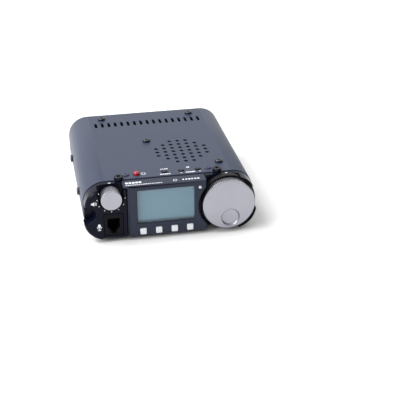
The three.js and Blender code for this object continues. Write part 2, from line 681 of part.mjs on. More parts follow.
/** The coaxial bayonet socket, with its two locking studs. */
function antennaSocket() {
  const { flange, barrel, bore, end } = ANTENNA;
  const neck = REAR.back + SEAT;
  const body = turned('y', [
    [0, 107], [4.6, 107], [4.6, neck], [flange, neck], [flange, neck + 1.8],
    [barrel, neck + 1.8], [barrel, end], [bore, end], [bore, neck + 3], [0, neck + 3],
  ]);
  const reaches = [[-5.6, -4.4], [4.4, 5.6]];
  const studs = reaches.map((reach) => rod('x', 0.95, reach, { y: end - 4 }, 12));
  return joined([body, ...studs]);
}

function antennaInsulator() {
  const back = REAR.back + 3.4;
  return turned('y', [
    [0, back], [2.5, back], [2.5, 124], [1.1, 124], [1.1, 126], [0.45, 126], [0.45, 121.5], [0, 121.5],
  ], {}, 12);
}

function powerJack() {
  const { flange, barrel, bore, pin } = POWER_JACK;
  const neck = REAR.back + SEAT;
  return turned('y', [
    [0, 104], [barrel, 104], [barrel, neck], [flange, neck], [flange, neck + 1.8], [bore, neck + 1.8],
    [bore, 107], [pin, 107], [pin, neck + 0.8], [0, neck + 0.8],
  ]);
}

/** The round multi-pole accessory socket: a metal shield round a core with contact holes. */
function accessorySocket() {
  const { flange, bore, core } = ACCESSORY;
  const neck = REAR.back + SEAT;
  const body = turned('y', [
    [0, 106], [flange - 1, 106], [flange - 1, neck], [flange, neck], [flange, neck + 1],
    [bore, neck + 1], [bore, 110], [core, 110], [core, neck - 0.6], [0, neck - 0.6],
  ]);
  const contacts = [0, 1, 2, 3, 4, 5].map((i) => {
    const angle = i * Math.PI / 3;
    return rod('y', 0.5, [111, 120], { x: 2 * Math.cos(angle), z: 2 * Math.sin(angle) }, 6);
  });
  return cut(body, contacts);
}

function keyJack() {
  const { flange, barrel, bore } = KEY_JACK;
  const neck = REAR.back + SEAT;
  return turned('y', [
    [0, 103], [barrel, 103], [barrel, neck], [flange, neck], [flange, neck + 1.4],
    [bore, neck + 1.4], [bore, 105], [0, 105],
  ], {}, 14);
}

function groundStud() {
  const { radius, end } = GROUND;
  return turned('y', [
    [0, 108], [3.6, 108], [3.6, REAR.front - SEAT], [radius, REAR.front - SEAT],
    [radius, end - 0.4], [radius - 0.4, end], [0, end],
  ], {}, 12);
}

function groundNut() {
  const { radius, nut, nutFront, nutBack } = GROUND;
  const bore = radius + 0.15;
  return turned('y', [
    [bore, nutFront], [nut - 1.6, nutFront], [nut - 1.6, nutFront + 0.8], [nut, nutFront + 0.8],
    [nut, nutBack], [bore, nutBack], [bore, nutFront],
  ]);
}

function rearParts() {
  return assembly([
    assembly([
      part('antenna_socket', antennaSocket(), FINISHES.nickel),
      part('antenna_insulator', antennaInsulator(), FINISHES.fluoropolymer),
    ], [ANTENNA.x, 0, ANTENNA.z]),
    assembly([
      part('ground_stud', groundStud(), FINISHES.brass),
      part('ground_nut', groundNut(), FINISHES.nickel),
    ], [GROUND.x, 0, GROUND.z]),
    assembly([part('power_jack', powerJack(), FINISHES.blackPlastic)], [POWER_JACK.x, 0, POWER_JACK.z]),
    assembly([part('accessory_socket', accessorySocket(), FINISHES.nickel)], [ACCESSORY.x, 0, ACCESSORY.z]),
    assembly([part('key_jack', keyJack(), FINISHES.blackPlastic)], [KEY_JACK.x, 0, KEY_JACK.z]),
  ]);
}

// ---------------------------------------------------------------- screws, made head up about z

function panScrew(length) {
  const { radius, height, shank } = PAN_HEAD;
  return turned('z', [
    [0, -length], [shank, -length], [shank, SEAT], [radius, SEAT], [radius, height * 0.55],
    [radius * 0.6, height], [0, height],
  ], {}, 12);
}

function capScrew(length) {
  const { radius, height, shank, socket, socketDepth } = CAP_HEAD;
  const body = turned('z', [
    [0, -length], [shank, -length], [shank, SEAT], [radius, SEAT],
    [radius, height - 0.3], [radius - 0.3, height], [0, height],
  ], {}, 12);
  return body.subtract(rod('z', socket, [height - socketDepth, height + 1], {}, 6));
}

function flatScrew(length) {
  const { radius, height, shank } = FLAT_HEAD;
  return turned('z', [
    [0, -length], [shank, -length], [shank, SEAT], [radius, SEAT], [radius * 0.85, height * 0.8], [0, height],
  ], {}, 12);
}

function placed(name, solid, finish, position, [rx, ry] = [0, 0]) {
  const mesh = part(name, solid, finish);
  mesh.position.set(...position);
  mesh.rotation.set(rx, ry, 0);
  return mesh;
}

function screwParts() {
  const top = CASE.height;
  const cover = COVER_SCREWS.map(({ name, x, y, end }) => {
    return placed(name, panScrew(top - end), FINISHES.blackScrew, [x, y, top]);
  });
  const sides = [['left', -1], ['right', 1]];
  const edge = sides.map(([side, sign]) => {
    const position = [sign * EDGE_BOLT.x, EDGE_BOLT.y, top];
    return placed(`edge_bolt_${side}`, capScrew(top - EDGE_BOLT.end), FINISHES.blackScrew, position);
  });
  const key = KEY_SCREWS.map(({ side, x, y }) => {
    return placed(`key_board_screw_${side}`, flatScrew(top - 32.9), FINISHES.casePaint, [x, y, top]);
  });
  const flanks = sides.flatMap(([side, sign]) => Object.entries(SIDE_SCREW.ys).map(([end, y]) => {
    const position = [sign * CASE.halfWidth, y, SIDE_SCREW.z];
    const screw = panScrew(SIDE_SCREW.length);
    return placed(`side_screw_${end}_${side}`, screw, FINISHES.blackScrew, position, [0, sign * Math.PI / 2]);
  }));
  const rear = sides.flatMap(([side, sign]) => Object.entries(REAR_SCREW.zs).map(([level, z]) => {
    const position = [sign * REAR_SCREW.x, REAR.back, z];
    const screw = panScrew(REAR_SCREW.length);
    return placed(`rear_screw_${level}_${side}`, screw, FINISHES.blackScrew, position, [-Math.PI / 2, 0]);
  }));
  return assembly([...cover, ...edge, ...key, ...flanks, ...rear]);
}

// ---------------------------------------------------------------- whole object

const group = assembly([
  caseParts(),
  frontParts(),
  tuningParts(),
  volumeParts(),
  microphoneParts(),
  topKeyParts(),
  speakerParts(),
  innerParts(),
  rearParts(),
  screwParts(),
], [0, -(FRONT_END + REAR_END) / 2, FOOT.height]);

export default group;
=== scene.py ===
"""The looks of a compact mobile transceiver, built around its fixed frame.

Every sub-assembly is a class that holds its sizes in millimetres, works its places out from the frame,
builds its meshes in metres and dresses them. Every finish is a small class that makes one procedural
material.
"""

import logging
import math
from collections.abc import Sequence
from dataclasses import dataclass, field
from enum import Enum
from typing import Any

import bmesh
import bpy
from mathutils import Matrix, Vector
from mathutils.geometry import tessellate_polygon


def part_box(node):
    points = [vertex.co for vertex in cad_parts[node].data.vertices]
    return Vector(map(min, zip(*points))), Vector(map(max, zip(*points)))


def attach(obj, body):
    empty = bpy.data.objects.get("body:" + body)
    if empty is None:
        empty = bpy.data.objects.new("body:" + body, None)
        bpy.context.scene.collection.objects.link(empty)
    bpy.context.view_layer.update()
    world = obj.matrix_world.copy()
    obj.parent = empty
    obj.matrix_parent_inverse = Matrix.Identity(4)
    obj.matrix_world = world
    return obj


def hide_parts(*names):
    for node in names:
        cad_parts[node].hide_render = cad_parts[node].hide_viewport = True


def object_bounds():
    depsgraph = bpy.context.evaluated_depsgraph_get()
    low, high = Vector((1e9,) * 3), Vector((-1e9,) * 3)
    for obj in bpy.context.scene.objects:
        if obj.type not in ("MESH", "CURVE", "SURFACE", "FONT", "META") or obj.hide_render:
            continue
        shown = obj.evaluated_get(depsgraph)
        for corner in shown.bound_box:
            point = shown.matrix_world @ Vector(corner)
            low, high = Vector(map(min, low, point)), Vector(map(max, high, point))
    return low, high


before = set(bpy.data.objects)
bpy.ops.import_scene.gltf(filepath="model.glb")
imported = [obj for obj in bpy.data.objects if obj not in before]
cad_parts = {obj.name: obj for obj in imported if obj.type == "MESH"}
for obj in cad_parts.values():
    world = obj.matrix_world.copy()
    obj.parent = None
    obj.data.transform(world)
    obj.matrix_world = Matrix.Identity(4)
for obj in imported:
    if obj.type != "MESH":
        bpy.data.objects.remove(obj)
CAD_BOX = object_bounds()

MM = 0.001
ROOT_BODY = "case"
LOG = logging.getLogger("transceiver")

Point = tuple[float, float]


# ------------------------------------------------------------------ where things are


class View(Enum):
    """The way a flat outline faces: its two drawing axes, then the axis that runs into the material."""

    FRONT = "x, z, and back along +y"
    REAR = "x, z, and forward along -y"
    TOP = "x, y, and down along -z"


class Turn(Enum):
    """The direction that a turned piece's height runs in."""

    BACK = "+y"
    UP = "+z"
    LEFT = "-x"
    RIGHT = "+x"


@dataclass(frozen=True)
class Datum:
    """The case's main faces in the frame, in millimetres."""

    half_width: float
    front: float
    rear: float
    bottom: float
    top: float

    @classmethod
    def read(cls) -> "Datum":
        """Reads the faces from the covers' boxes.

        Returns:
            The datum of this frame.
        """
        low, high = (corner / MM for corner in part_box("top_cover"))
        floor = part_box("bottom_cover")[0] / MM
        return cls(high.x, low.y, high.y, floor.z, high.z)


CASE = Datum.read()
CORNER_RADIUS = 15.0
MID_HEIGHT = 20.0
PRINT_HEIGHT = 0.04
PRINT_GAP = 0.004
CUTTER_DEPTH = -6.0


def span(node: str) -> tuple[Vector, Vector]:
    """Gives a node's box in millimetres.

    Args:
        node: The CAD node's name.

    Returns:
        Its lowest and its highest corner.
    """
    low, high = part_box(node)
    return low / MM, high / MM


def middle(node: str) -> Vector:
    """Gives the middle of a node's box in millimetres."""
    low, high = span(node)
    return (low + high) / 2


# ------------------------------------------------------------------ node trees


class Graph:
    """A node tree under construction."""

    def __init__(self, tree: bpy.types.NodeTree) -> None:
        """Keeps the tree that the nodes go into."""
        self.tree = tree

    def node(self, kind: str, inputs: dict[Any, Any] | None = None, **settings: Any) -> bpy.types.Node:
        """Adds a node.

        Args:
            kind: The node's type name.
            inputs: Values or output sockets, by the input's name or number.
            settings: The node's own properties.

        Returns:
            The new node.
        """
        made = self.tree.nodes.new(kind)
        for name, value in settings.items():
            setattr(made, name, value)
        for key, value in (inputs or {}).items():
            if isinstance(value, bpy.types.NodeSocket):
                self.tree.links.new(value, made.inputs[key])
            else:
                made.inputs[key].default_value = value
        return made

    def out(self, kind: str, inputs: dict[Any, Any] | None = None, socket: Any = 0, **settings: Any) -> Any:
        """Adds a node and gives one of its outputs."""
        return self.node(kind, inputs, **settings).outputs[socket]

    def math(self, operation: str, *values: Any) -> Any:
        """Adds a math node on one to three values and gives its result."""
        return self.out("ShaderNodeMath", dict(enumerate(values)), operation=operation)


class GeometryRecipe:
    """A Geometry Nodes tree with named inputs, run once on an object."""

    SOCKETS = {
        float: "NodeSocketFloat",
        int: "NodeSocketInt",
        Vector: "NodeSocketVector",
        bpy.types.Object: "NodeSocketObject",
        bpy.types.Material: "NodeSocketMaterial",
    }

    def __init__(self, name: str) -> None:
        """Starts a tree with a geometry input and output.

        Args:
            name: The tree's name.
        """
        self.tree = bpy.data.node_groups.new(name, "GeometryNodeTree")
        self.graph = Graph(self.tree)
        self.tree.interface.new_socket("Geometry", in_out="INPUT", socket_type="NodeSocketGeometry")
        self.tree.interface.new_socket("Geometry", in_out="OUTPUT", socket_type="NodeSocketGeometry")
        self.source = self.tree.nodes.new("NodeGroupInput")
        self.keys: dict[str, str] = {}

    def input(self, name: str, kind: type) -> Any:
        """Adds a named input.

        Args:
            name: The input's name.
            kind: The Python type of its value.

        Returns:
            The socket that gives the value inside the tree.
        """
        socket = self.tree.interface.new_socket(name, in_out="INPUT", socket_type=self.SOCKETS[kind])
        self.keys[name] = socket.identifier
        return self.source.outputs[name]

    def finish(self, geometry: Any) -> None:
        """Ends the tree with real geometry and its material.

        Args:
            geometry: The socket that carries the finished geometry.
        """
        material = self.input("Material", bpy.types.Material)
        real = self.graph.out("GeometryNodeRealizeInstances", {"Geometry": geometry})
        dressed = self.graph.out("GeometryNodeSetMaterial", {"Geometry": real, "Material": material})
        self.graph.node("NodeGroupOutput", {"Geometry": dressed})

    def run(self, base: bpy.types.Object, material: bpy.types.Material, **values: Any) -> bpy.types.Object:
        """Runs the tree on an object and keeps the result as its plain mesh.

        Args:
            base: The object that holds the incoming geometry.
            material: The material of the result.
            values: The other inputs, with underscores for spaces.

        Returns:
            The same object, with the finished mesh.
        """
        modifier = base.modifiers.new("recipe", "NODES")
        modifier.node_group = self.tree
        modifier[self.keys["Material"]] = material
        for name, value in values.items():
            modifier[self.keys[name.replace("_", " ")]] = value
        return baked(base)


def baked(obj: bpy.types.Object) -> bpy.types.Object:
    """Turns an object's modifiers into its plain mesh.

    Args:
        obj: The object, with any modifiers.

    Returns:
        The same object, with no modifiers left.
    """
    depsgraph = bpy.context.evaluated_depsgraph_get()
    mesh = bpy.data.meshes.new_from_object(obj.evaluated_get(depsgraph), depsgraph=depsgraph)
    obj.modifiers.clear()
    obj.data = mesh
    mesh.name = obj.name
    return obj


def carved(piece: bpy.types.Object, cutter: bpy.types.Object) -> bpy.types.Object:
    """Cuts a shape out of a piece.

    Args:
        piece: The object to cut.
        cutter: The shape, which is used up.

    Returns:
        The same piece.
    """
    boolean = piece.modifiers.new("cut", "BOOLEAN")
    boolean.operation = "DIFFERENCE"
    boolean.object = cutter
    boolean.solver = "EXACT"
    baked(piece)
    bpy.data.objects.remove(cutter)
    return piece


# ------------------------------------------------------------------ meshes


def new_object(name: str, mesh: bpy.types.Mesh | bmesh.types.BMesh) -> bpy.types.Object:
    """Links a new object to the scene.

    Args:
        name: The piece's name.
        mesh: Its mesh, or a bmesh, which is used up.

    Returns:
        The object, at the origin.
    """
    if isinstance(mesh, bmesh.types.BMesh):
        bmesh.ops.remove_doubles(mesh, verts=mesh.verts, dist=1e-7)
        bmesh.ops.recalc_face_normals(mesh, faces=mesh.faces)
        data = bpy.data.meshes.new(name)
        mesh.to_mesh(data)
        mesh.free()
        mesh = data
    obj = bpy.data.objects.new(name, mesh)
    bpy.context.scene.collection.objects.link(obj)
    return obj


def smoothed(obj: bpy.types.Object, angle: float = 32.0) -> bpy.types.Object:
    """Shades a piece smoothly, with sharp edges kept and flat faces kept flat.

    Args:
        obj: The finished mesh object.
        angle: Edges that bend more than this many degrees stay sharp.

    Returns:
        The same object.
    """
    obj.data.shade_smooth()
    obj.data.set_sharp_from_angle(angle=math.radians(angle))
    weighted = obj.modifiers.new("normals", "WEIGHTED_NORMAL")
    weighted.keep_sharp = True
    return baked(obj)


def merged(name: str, pieces: Sequence[bpy.types.Object]) -> bpy.types.Object:
    """Joins separate shells into one object.

    Args:
        name: The new object's name.
        pieces: The objects, which are used up.

    Returns:
        The joined object.
    """
    shells = bmesh.new()
    for piece in pieces:
        shells.from_mesh(piece.data)
        bpy.data.objects.remove(piece)
    data = bpy.data.meshes.new(name)
    shells.to_mesh(data)
    shells.free()
    return new_object(name, data)


def bridged(
    mesh: bmesh.types.BMesh, rings: Sequence[Sequence[Vector]], closed: bool = True
) -> list[list[Any]]:
    """Joins rings of points with quads.

    Args:
        mesh: The bmesh to add to.
        rings: Rings with one number of points.
        closed: Whether each ring's last point joins its first.

    Returns:
        The new vertices, ring by ring.
    """
    rows = [[mesh.verts.new(point) for point in ring] for ring in rings]
    count = len(rows[0])
    for lower, upper in zip(rows, rows[1:]):
        for i in range(count if closed else count - 1):
            j = (i + 1) % count
            mesh.faces.new((lower[i], lower[j], upper[j], upper[i]))
    return rows


def turned(
    name: str, profile: Sequence[Point], centre: Vector, turn: Turn = Turn.BACK, steps: int = 64
) -> bpy.types.Object:
    """Turns a profile about an axis into a closed piece.

    Args:
        name: The object's name.
        profile: Radius and height pairs in millimetres, with heights measured along the turn's direction.
        centre: A point on the axis, in millimetres.
        turn: The direction of the axis.
        steps: How many flats go round.

    Returns:
        The object.
    """
    along = {
        Turn.BACK: lambda u, v, h: Vector((u, h, v)),
        Turn.UP: lambda u, v, h: Vector((u, v, h)),
        Turn.LEFT: lambda u, v, h: Vector((-h, u, v)),
        Turn.RIGHT: lambda u, v, h: Vector((h, u, v)),
    }[turn]
    mesh = bmesh.new()
    angles = [2 * math.pi * i / steps for i in range(steps)]
    rings = [
        [(along(radius * math.cos(a), radius * math.sin(a), height) + centre) * MM for a in angles]
        for radius, height in profile
        if radius > 0
    ]
    rows = bridged(mesh, rings)
    for (radius, height), row in ((profile[0], rows[0]), (profile[-1], rows[-1])):
        if radius == 0:
            tip = mesh.verts.new((along(0, 0, height) + centre) * MM)
            for i, vertex in enumerate(row):
                mesh.faces.new((vertex, row[(i + 1) % steps], tip))
    if profile[0] == profile[-1]:
        for first, last in zip(rows[0], rows[-1]):
            last.co = first.co
    return new_object(name, mesh)


def arc(centre: Point, radius: float, start: float, end: float, steps: int = 24) -> list[Point]:
    """Draws points on an arc.

    Args:
        centre: The arc's centre.
        radius: Its radius.
        start: The first angle, in degrees.
        end: The last angle, in degrees.
        steps: How many straight steps the arc has.

    Returns:
        The points, both ends included.
    """
    angles = [math.radians(start + (end - start) * i / steps) for i in range(steps + 1)]
    return [(centre[0] + radius * math.cos(a), centre[1] + radius * math.sin(a)) for a in angles]


def quarter_angles(steps: int) -> list[float]:
    """Gives evenly spaced angles over a quarter turn, in radians, both ends included."""
    return [math.pi / 2 * i / steps for i in range(steps + 1)]


def circle(centre: Point, radius: float, steps: int = 48) -> list[Point]:
    """Draws a full circle, with its last point left out."""
    return arc(centre, radius, 0, 360, steps)[:-1]


def rounded_rect(low: Point, high: Point, radius: float, steps: int = 6) -> list[Point]:
    """Draws a rectangle with round corners.

    Args:
        low: Its lowest corner.
        high: Its highest corner.
        radius: The corners' radius.
        steps: Straight steps in each corner.

    Returns:
        The points, anticlockwise.
    """
    (x0, y0), (x1, y1) = low, high
    centres = [
        (x1 - radius, y0 + radius), (x1 - radius, y1 - radius),
        (x0 + radius, y1 - radius), (x0 + radius, y0 + radius),
    ]
    return [p for i, c in enumerate(centres) for p in arc(c, radius, 90 * i - 90, 90 * i, steps)]


def meeting(first: Point, first_radius: float, second: Point, second_radius: float, side: int) -> Point:
    """Finds where two circles cross.

    Args:
        first: The first circle's centre.
        first_radius: Its radius.
        second: The second circle's centre.
        second_radius: Its radius.
        side: 1 for the crossing on the left of the line from first to second, and -1 for the right.

    Returns:
        The crossing.
    """
    dx, dy = second[0] - first[0], second[1] - first[1]
    gap = math.hypot(dx, dy)
    along = (first_radius**2 - second_radius**2 + gap**2) / (2 * gap)
    off = side * math.sqrt(first_radius**2 - along**2)
    return (first[0] + (along * dx - off * dy) / gap, first[1] + (along * dy + off * dx) / gap)


def bearing(centre: Point, point: Point) -> float:
    """Gives the angle of a point seen from a centre, in degrees."""
    return math.degrees(math.atan2(point[1] - centre[1], point[0] - centre[0]))


@dataclass(frozen=True)
class Edge:
    """A closed outline and how its edges are softened: by a rounding, or by a flat chamfer on the near side.

    Weights scale the softening's width point by point.
    """

    points: Sequence[Point]
    near: float = 0.0
    far: float = 0.0
    chamfer: float = 0.0
    weights: Sequence[float] = ()

    def inset(self, distance: float, hole: bool) -> list[Point]:
        """Moves the outline into the material, which lies outside it if it is a hole.

        Args:
            distance: How far it moves.
            hole: Whether the outline is a hole's.

        Returns:
            The moved points.
        """
        points = self.points
        area = sum(a[0] * b[1] - b[0] * a[1] for a, b in zip(points, [*points[1:], points[0]]))
        sign = (1 if area > 0 else -1) * (-1 if hole else 1) * distance
        moved = []
        for i, (x, y) in enumerate(points):
            before, after = points[i - 1], points[(i + 1) % len(points)]
            normals = [self._normal(before, (x, y)), self._normal((x, y), after)]
            dot = normals[0][0] * normals[1][0] + normals[0][1] * normals[1][1]
            reach = sign / max(1 + dot, 0.4) * (self.weights[i] if self.weights else 1.0)
            moved.append(
                (x + (normals[0][0] + normals[1][0]) * reach, y + (normals[0][1] + normals[1][1]) * reach)
            )
        return moved

    @staticmethod
    def _normal(start: Point, end: Point) -> Point:
        """Gives the left-hand normal of a stretch of outline."""
        dx, dy = end[0] - start[0], end[1] - start[1]
        length = math.hypot(dx, dy) or 1.0
        return (-dy / length, dx / length)


def plate(
    name: str, outer: Edge, near: float, far: float, holes: Sequence[Edge] = (), view: View = View.FRONT
) -> bpy.types.Object:
    """Makes a plate from outlines, with rounded edges.

    Args:
        name: The object's name.
        outer: The outside outline, in millimetres.
        near: The plate's near face on the view's depth axis.
        far: Its far face on that axis.
        holes: The outlines of holes that go right through.
        view: The way that the plate faces.

    Returns:
        The object.
    """
    upright = view is not View.TOP
    sign = 1 if far > near else -1
    mesh = bmesh.new()
    ends: list[list[list[Any]]] = [[], []]
    for number, edge in enumerate([outer, *holes]):
        hole = number > 0
        front = _slant(edge.chamfer, near, sign) if edge.chamfer else _quarter(edge.near, near, sign)
        stations = [*front, *reversed(_quarter(edge.far, far, -sign))]
        rings = [
            [Vector((u, depth, v) if upright else (u, v, depth)) * MM for u, v in edge.inset(step, hole)]
            for step, depth in stations
        ]
        rows = bridged(mesh, rings)
        ends[0].append(rows[0])
        ends[1].append(rows[-1])
    for loops in ends:
        flat = [vertex for loop in loops for vertex in loop]
        for face in tessellate_polygon([[vertex.co for vertex in loop] for loop in loops]):
            mesh.faces.new([flat[i] for i in face])
    splits = [edge for edge in mesh.edges if len(edge.link_faces) == 2 and _flat(edge)]
    bmesh.ops.dissolve_limit(mesh, angle_limit=math.radians(0.5), verts=[], edges=splits)
    return new_object(name, mesh)


def _flat(edge: Any) -> bool:
    """Tells whether an edge only splits a flat face into triangles."""
    return all(len(face.verts) == 3 for face in edge.link_faces) and edge.calc_face_angle(1.0) < 1e-3


def _quarter(radius: float, depth: float, sign: int) -> list[Point]:
    """Gives the inset and depth of the rings that round an edge, from its face to its side."""
    if radius == 0:
        return [(0.0, depth)]
    turns = quarter_angles(4)
    return [(radius * (1 - math.sin(a)), depth + sign * radius * (1 - math.cos(a))) for a in turns]


def _slant(width: float, depth: float, sign: int, blend: float = 0.25) -> list[Point]:
    """Gives the inset and depth of the rings of a flat chamfer that blends into the face and the side."""
    tip = 0.3 * blend
    steps = [(width + blend, 0.0), (width, tip), (tip, width), (0.0, width + blend)]
    return [(inset, depth + sign * into) for inset, into in steps]


def case_outline(inset: float, steps: int = 24) -> list[Point]:
    """Draws the case's outline in x and z.

    Args:
        inset: How far it is drawn inside the case.
        steps: Straight steps in each corner.

    Returns:
        The points, anticlockwise from the lower right corner.
    """
    low, high = (-CASE.half_width + inset, CASE.bottom + inset), (CASE.half_width - inset, CASE.top - inset)
    return rounded_rect(low, high, CORNER_RADIUS - inset, steps)


# ------------------------------------------------------------------ finishes


def srgb(red: int, green: int, blue: int) -> tuple[float, float, float, float]:
    """Turns a display colour from 0 to 255 into the linear colour that a shader takes."""
    linear = [((c / 255 + 0.055) / 1.055) ** 2.4 if c > 10 else c / 255 / 12.92 for c in (red, green, blue)]
    return (*linear, 1.0)


@dataclass(frozen=True)
class Finish:
    """A finish with cloudy colour and roughness and a fine grain, all on the object's own coordinates.

    Sizes of clouds and grain are given as counts per metre.
    """

    name: str
    colour: tuple[float, float, float, float]
    shade: tuple[float, float, float, float]
    roughness: float
    slot: str
    metallic: float = 0.0
    roughness_spread: float = 0.06
    cloud_scale: float = 60.0
    grain_scale: float = 4000.0
    grain_strength: float = 0.1
    grain_depth: float = 0.00005
    specular: float = 0.5
    coat: float = 0.0

    def material(self) -> bpy.types.Material:
        """Makes the material, or gives it again once it is made.

        Returns:
            The material of this finish.
        """
        label = f"finish_{self.name}"
        found = bpy.data.materials.get(label)
        if found:
            return found
        made = bpy.data.materials.new(label)
        made.use_nodes = True
        made.node_tree.nodes.clear()
        graph = Graph(made.node_tree)
        place = graph.out("ShaderNodeTexCoord", socket="Object")
        settings = {
            "Base Color": self._colour(graph, place),
            "Roughness": self._roughness(graph, place),
            "Metallic": self.metallic,
            "Specular IOR Level": self.specular,
            "Coat Weight": self.coat,
            "Normal": self._normal(graph, place),
            **self._extra(graph, place),
        }
        shader = graph.out("ShaderNodeBsdfPrincipled", settings)
        graph.node("ShaderNodeOutputMaterial", {"Surface": shader})
        return made

    def _cloud(self, graph: Graph, place: Any) -> Any:
        """Gives a soft noise between 0 and 1."""
        settings = {"Vector": place, "Scale": self.cloud_scale, "Detail": 3.0, "Roughness": 0.55}
        return graph.out("ShaderNodeTexNoise", settings)

    def _colour(self, graph: Graph, place: Any) -> Any:
        """Gives the colour, which drifts between the finish's two colours."""
        mix = graph.node("ShaderNodeMix", data_type="RGBA")
        graph.tree.links.new(self._cloud(graph, place), mix.inputs["Factor"])
        mix.inputs[6].default_value = self.colour
        mix.inputs[7].default_value = self.shade
        return mix.outputs[2]

    def _roughness(self, graph: Graph, place: Any) -> Any:
        """Gives the roughness, which drifts about its middle value."""
        low, high = self.roughness - self.roughness_spread, self.roughness + self.roughness_spread
        settings = {"Value": self._cloud(graph, place), "To Min": low, "To Max": high}
        return graph.out("ShaderNodeMapRange", settings)

    def _height(self, graph: Graph, place: Any) -> Any:
        """Gives the height of the grain."""
        settings = {"Vector": place, "Scale": self.grain_scale, "Detail": 2.0}
        return graph.out("ShaderNodeTexNoise", settings)

    def _normal(self, graph: Graph, place: Any) -> Any:
        """Gives the bumped normal."""
        settings = {
            "Height": self._height(graph, place),
            "Strength": self.grain_strength,
            "Distance": self.grain_depth,
        }
        return graph.out("ShaderNodeBump", settings)

    def _extra(self, graph: Graph, place: Any) -> dict[str, Any]:
        """Gives further shader inputs of a special finish."""
        return {}


@dataclass(frozen=True)
class TurnedFinish(Finish):
    """Metal turned on a lathe: fine rings about an axis that runs from front to back."""

    axis: Point = (0.0, 0.0)
    ring_scale: float = 1300.0

    def _height(self, graph: Graph, place: Any) -> Any:
        """Gives the rings, broken up a little by noise."""
        shift = (-self.axis[0] * MM, 0.0, -self.axis[1] * MM)
        centred = graph.out("ShaderNodeMapping", {"Vector": place, "Location": shift})
        rings = {
            "Vector": centred, "Scale": self.ring_scale, "Distortion": 0.4, "Detail": 1.0, "Detail Scale": 2.0
        }
        wave = graph.out("ShaderNodeTexWave", rings, socket="Fac", wave_type="RINGS", rings_direction="Y")
        return graph.math("ADD", graph.math("MULTIPLY", wave, 0.5), Finish._height(self, graph, place))


@dataclass(frozen=True)
class GlassFinish(Finish):
    """A thin clear window that lets the light through to what lies behind it."""

    alpha: float = 0.06

    def _extra(self, graph: Graph, place: Any) -> dict[str, Any]:
        """Gives the window its clearness."""
        return {"Alpha": self.alpha}


@dataclass(frozen=True)
class ScreenFinish(Finish):
    """A blank liquid crystal panel: square dots that are just visible, and painted shade along its lower
    edge, where the bezel shades it.
    """

    dot_scale: float = 2200.0
    floor: float = 0.0
    shade_fade: float = 3.0

    def _colour(self, graph: Graph, place: Any) -> Any:
        """Gives the panel's tint, with painted shade towards its lower edge."""
        tint = Finish._colour(self, graph, place)
        # painted shade: the tint is scaled from 0.38 at the window's lower edge up to full over the few
        # millimetres above it
        height = graph.node("ShaderNodeSeparateXYZ", {"Vector": place}).outputs["Z"]
        limits = {
            "Value": height, "From Min": self.floor * MM, "From Max": (self.floor + self.shade_fade) * MM,
            "To Min": 0.38
        }
        shade_gain = graph.out("ShaderNodeMapRange", limits, interpolation_type="SMOOTHSTEP")
        scaled = graph.node("ShaderNodeVectorMath", {0: tint}, operation="SCALE")
        graph.tree.links.new(shade_gain, scaled.inputs["Scale"])
        return scaled.outputs[0]

    def _height(self, graph: Graph, place: Any) -> Any:
        """Gives the grid of dots."""
        settings = {"Vector": place, "Scale": self.dot_scale}
        return graph.out("ShaderNodeTexVoronoi", settings, distance="CHEBYCHEV")


@dataclass(frozen=True)
class BoardFinish(Finish):
    """Green solder resist over copper tracks."""

    track_scale: float = 260.0

    def _height(self, graph: Graph, place: Any) -> Any:
        """Gives the raised tracks."""
        settings = {"Vector": place, "Scale": self.track_scale, "Brick Width": 0.9, "Row Height": 0.16}
        return graph.out("ShaderNodeTexBrick", settings, socket="Fac")


CASE_PAINT = Finish(
    "case_paint", srgb(50, 57, 75), srgb(53, 60, 79), 0.44, "case_paint",
    roughness_spread=0.04, grain_scale=3400, grain_strength=0.16, grain_depth=0.00006, specular=0.3,
)
# One front plastic in two copies: the pod's copy is lighter, as painted light for the stronger light on the
# pod's face, and the panel's copy is darker, as painted shade over the left block.
PANEL_PLASTIC = Finish(
    "panel_plastic", srgb(8, 11, 26), srgb(10, 13, 29), 0.24, "panel_plastic",
    roughness_spread=0.03, grain_scale=4200, grain_strength=0.05, specular=0.1,
)
POD_PLASTIC = Finish(
    "pod_plastic", srgb(37, 42, 58), srgb(40, 45, 62), 0.42, "panel_plastic",
    roughness_spread=0.05, grain_scale=4200, grain_strength=0.12, specular=0.22,
)
BLACK_PLASTIC = Finish("black_plastic", srgb(9, 9, 12), srgb(14, 14, 17), 0.5, "black_plastic", specular=0.3)
SOCKET_PLASTIC = Finish(
    "socket_plastic", srgb(12, 12, 19), srgb(15, 15, 22), 0.5, "black_plastic", specular=0.1
)
KEY_BLACK = Finish("key_black", srgb(8, 8, 11), srgb(13, 13, 17), 0.38, "key_black")
RUBBER = Finish(
    "rubber", srgb(7, 7, 8), srgb(14, 14, 15), 0.8, "rubber", grain_scale=2500, grain_strength=0.2
)
WHITE_KEY = Finish(
    "key_white", srgb(224, 229, 232), srgb(214, 220, 224), 0.42, "key_white", grain_strength=0.03
)
PRINT_WHITE = Finish(
    "print_white", srgb(232, 235, 240), srgb(205, 210, 218), 0.55, "key_white", cloud_scale=900
)
POWER_RED = Finish(
    "power_red", srgb(158, 30, 40), srgb(146, 26, 36), 0.3, "power_red", grain_strength=0.02, coat=0.3
)
SCREW_BLACK = Finish(
    "screw_black", srgb(84, 87, 94), srgb(70, 73, 80), 0.34, "screw_black", metallic=1.0, cloud_scale=400
)
BOLT_BLACK = Finish(
    "bolt_black", srgb(52, 54, 60), srgb(38, 39, 45), 0.3, "screw_black", metallic=0.9, cloud_scale=400
)
LENS = Finish("lens_white", srgb(198, 206, 212), srgb(186, 195, 202), 0.35, "key_white", grain_strength=0.02)
STEEL = Finish(
    "steel", srgb(165, 168, 172), srgb(148, 150, 156), 0.32, "steel", metallic=1.0, cloud_scale=300
)
NICKEL = Finish(
    "nickel", srgb(196, 196, 196), srgb(178, 178, 182), 0.2, "nickel", metallic=1.0, cloud_scale=250
)
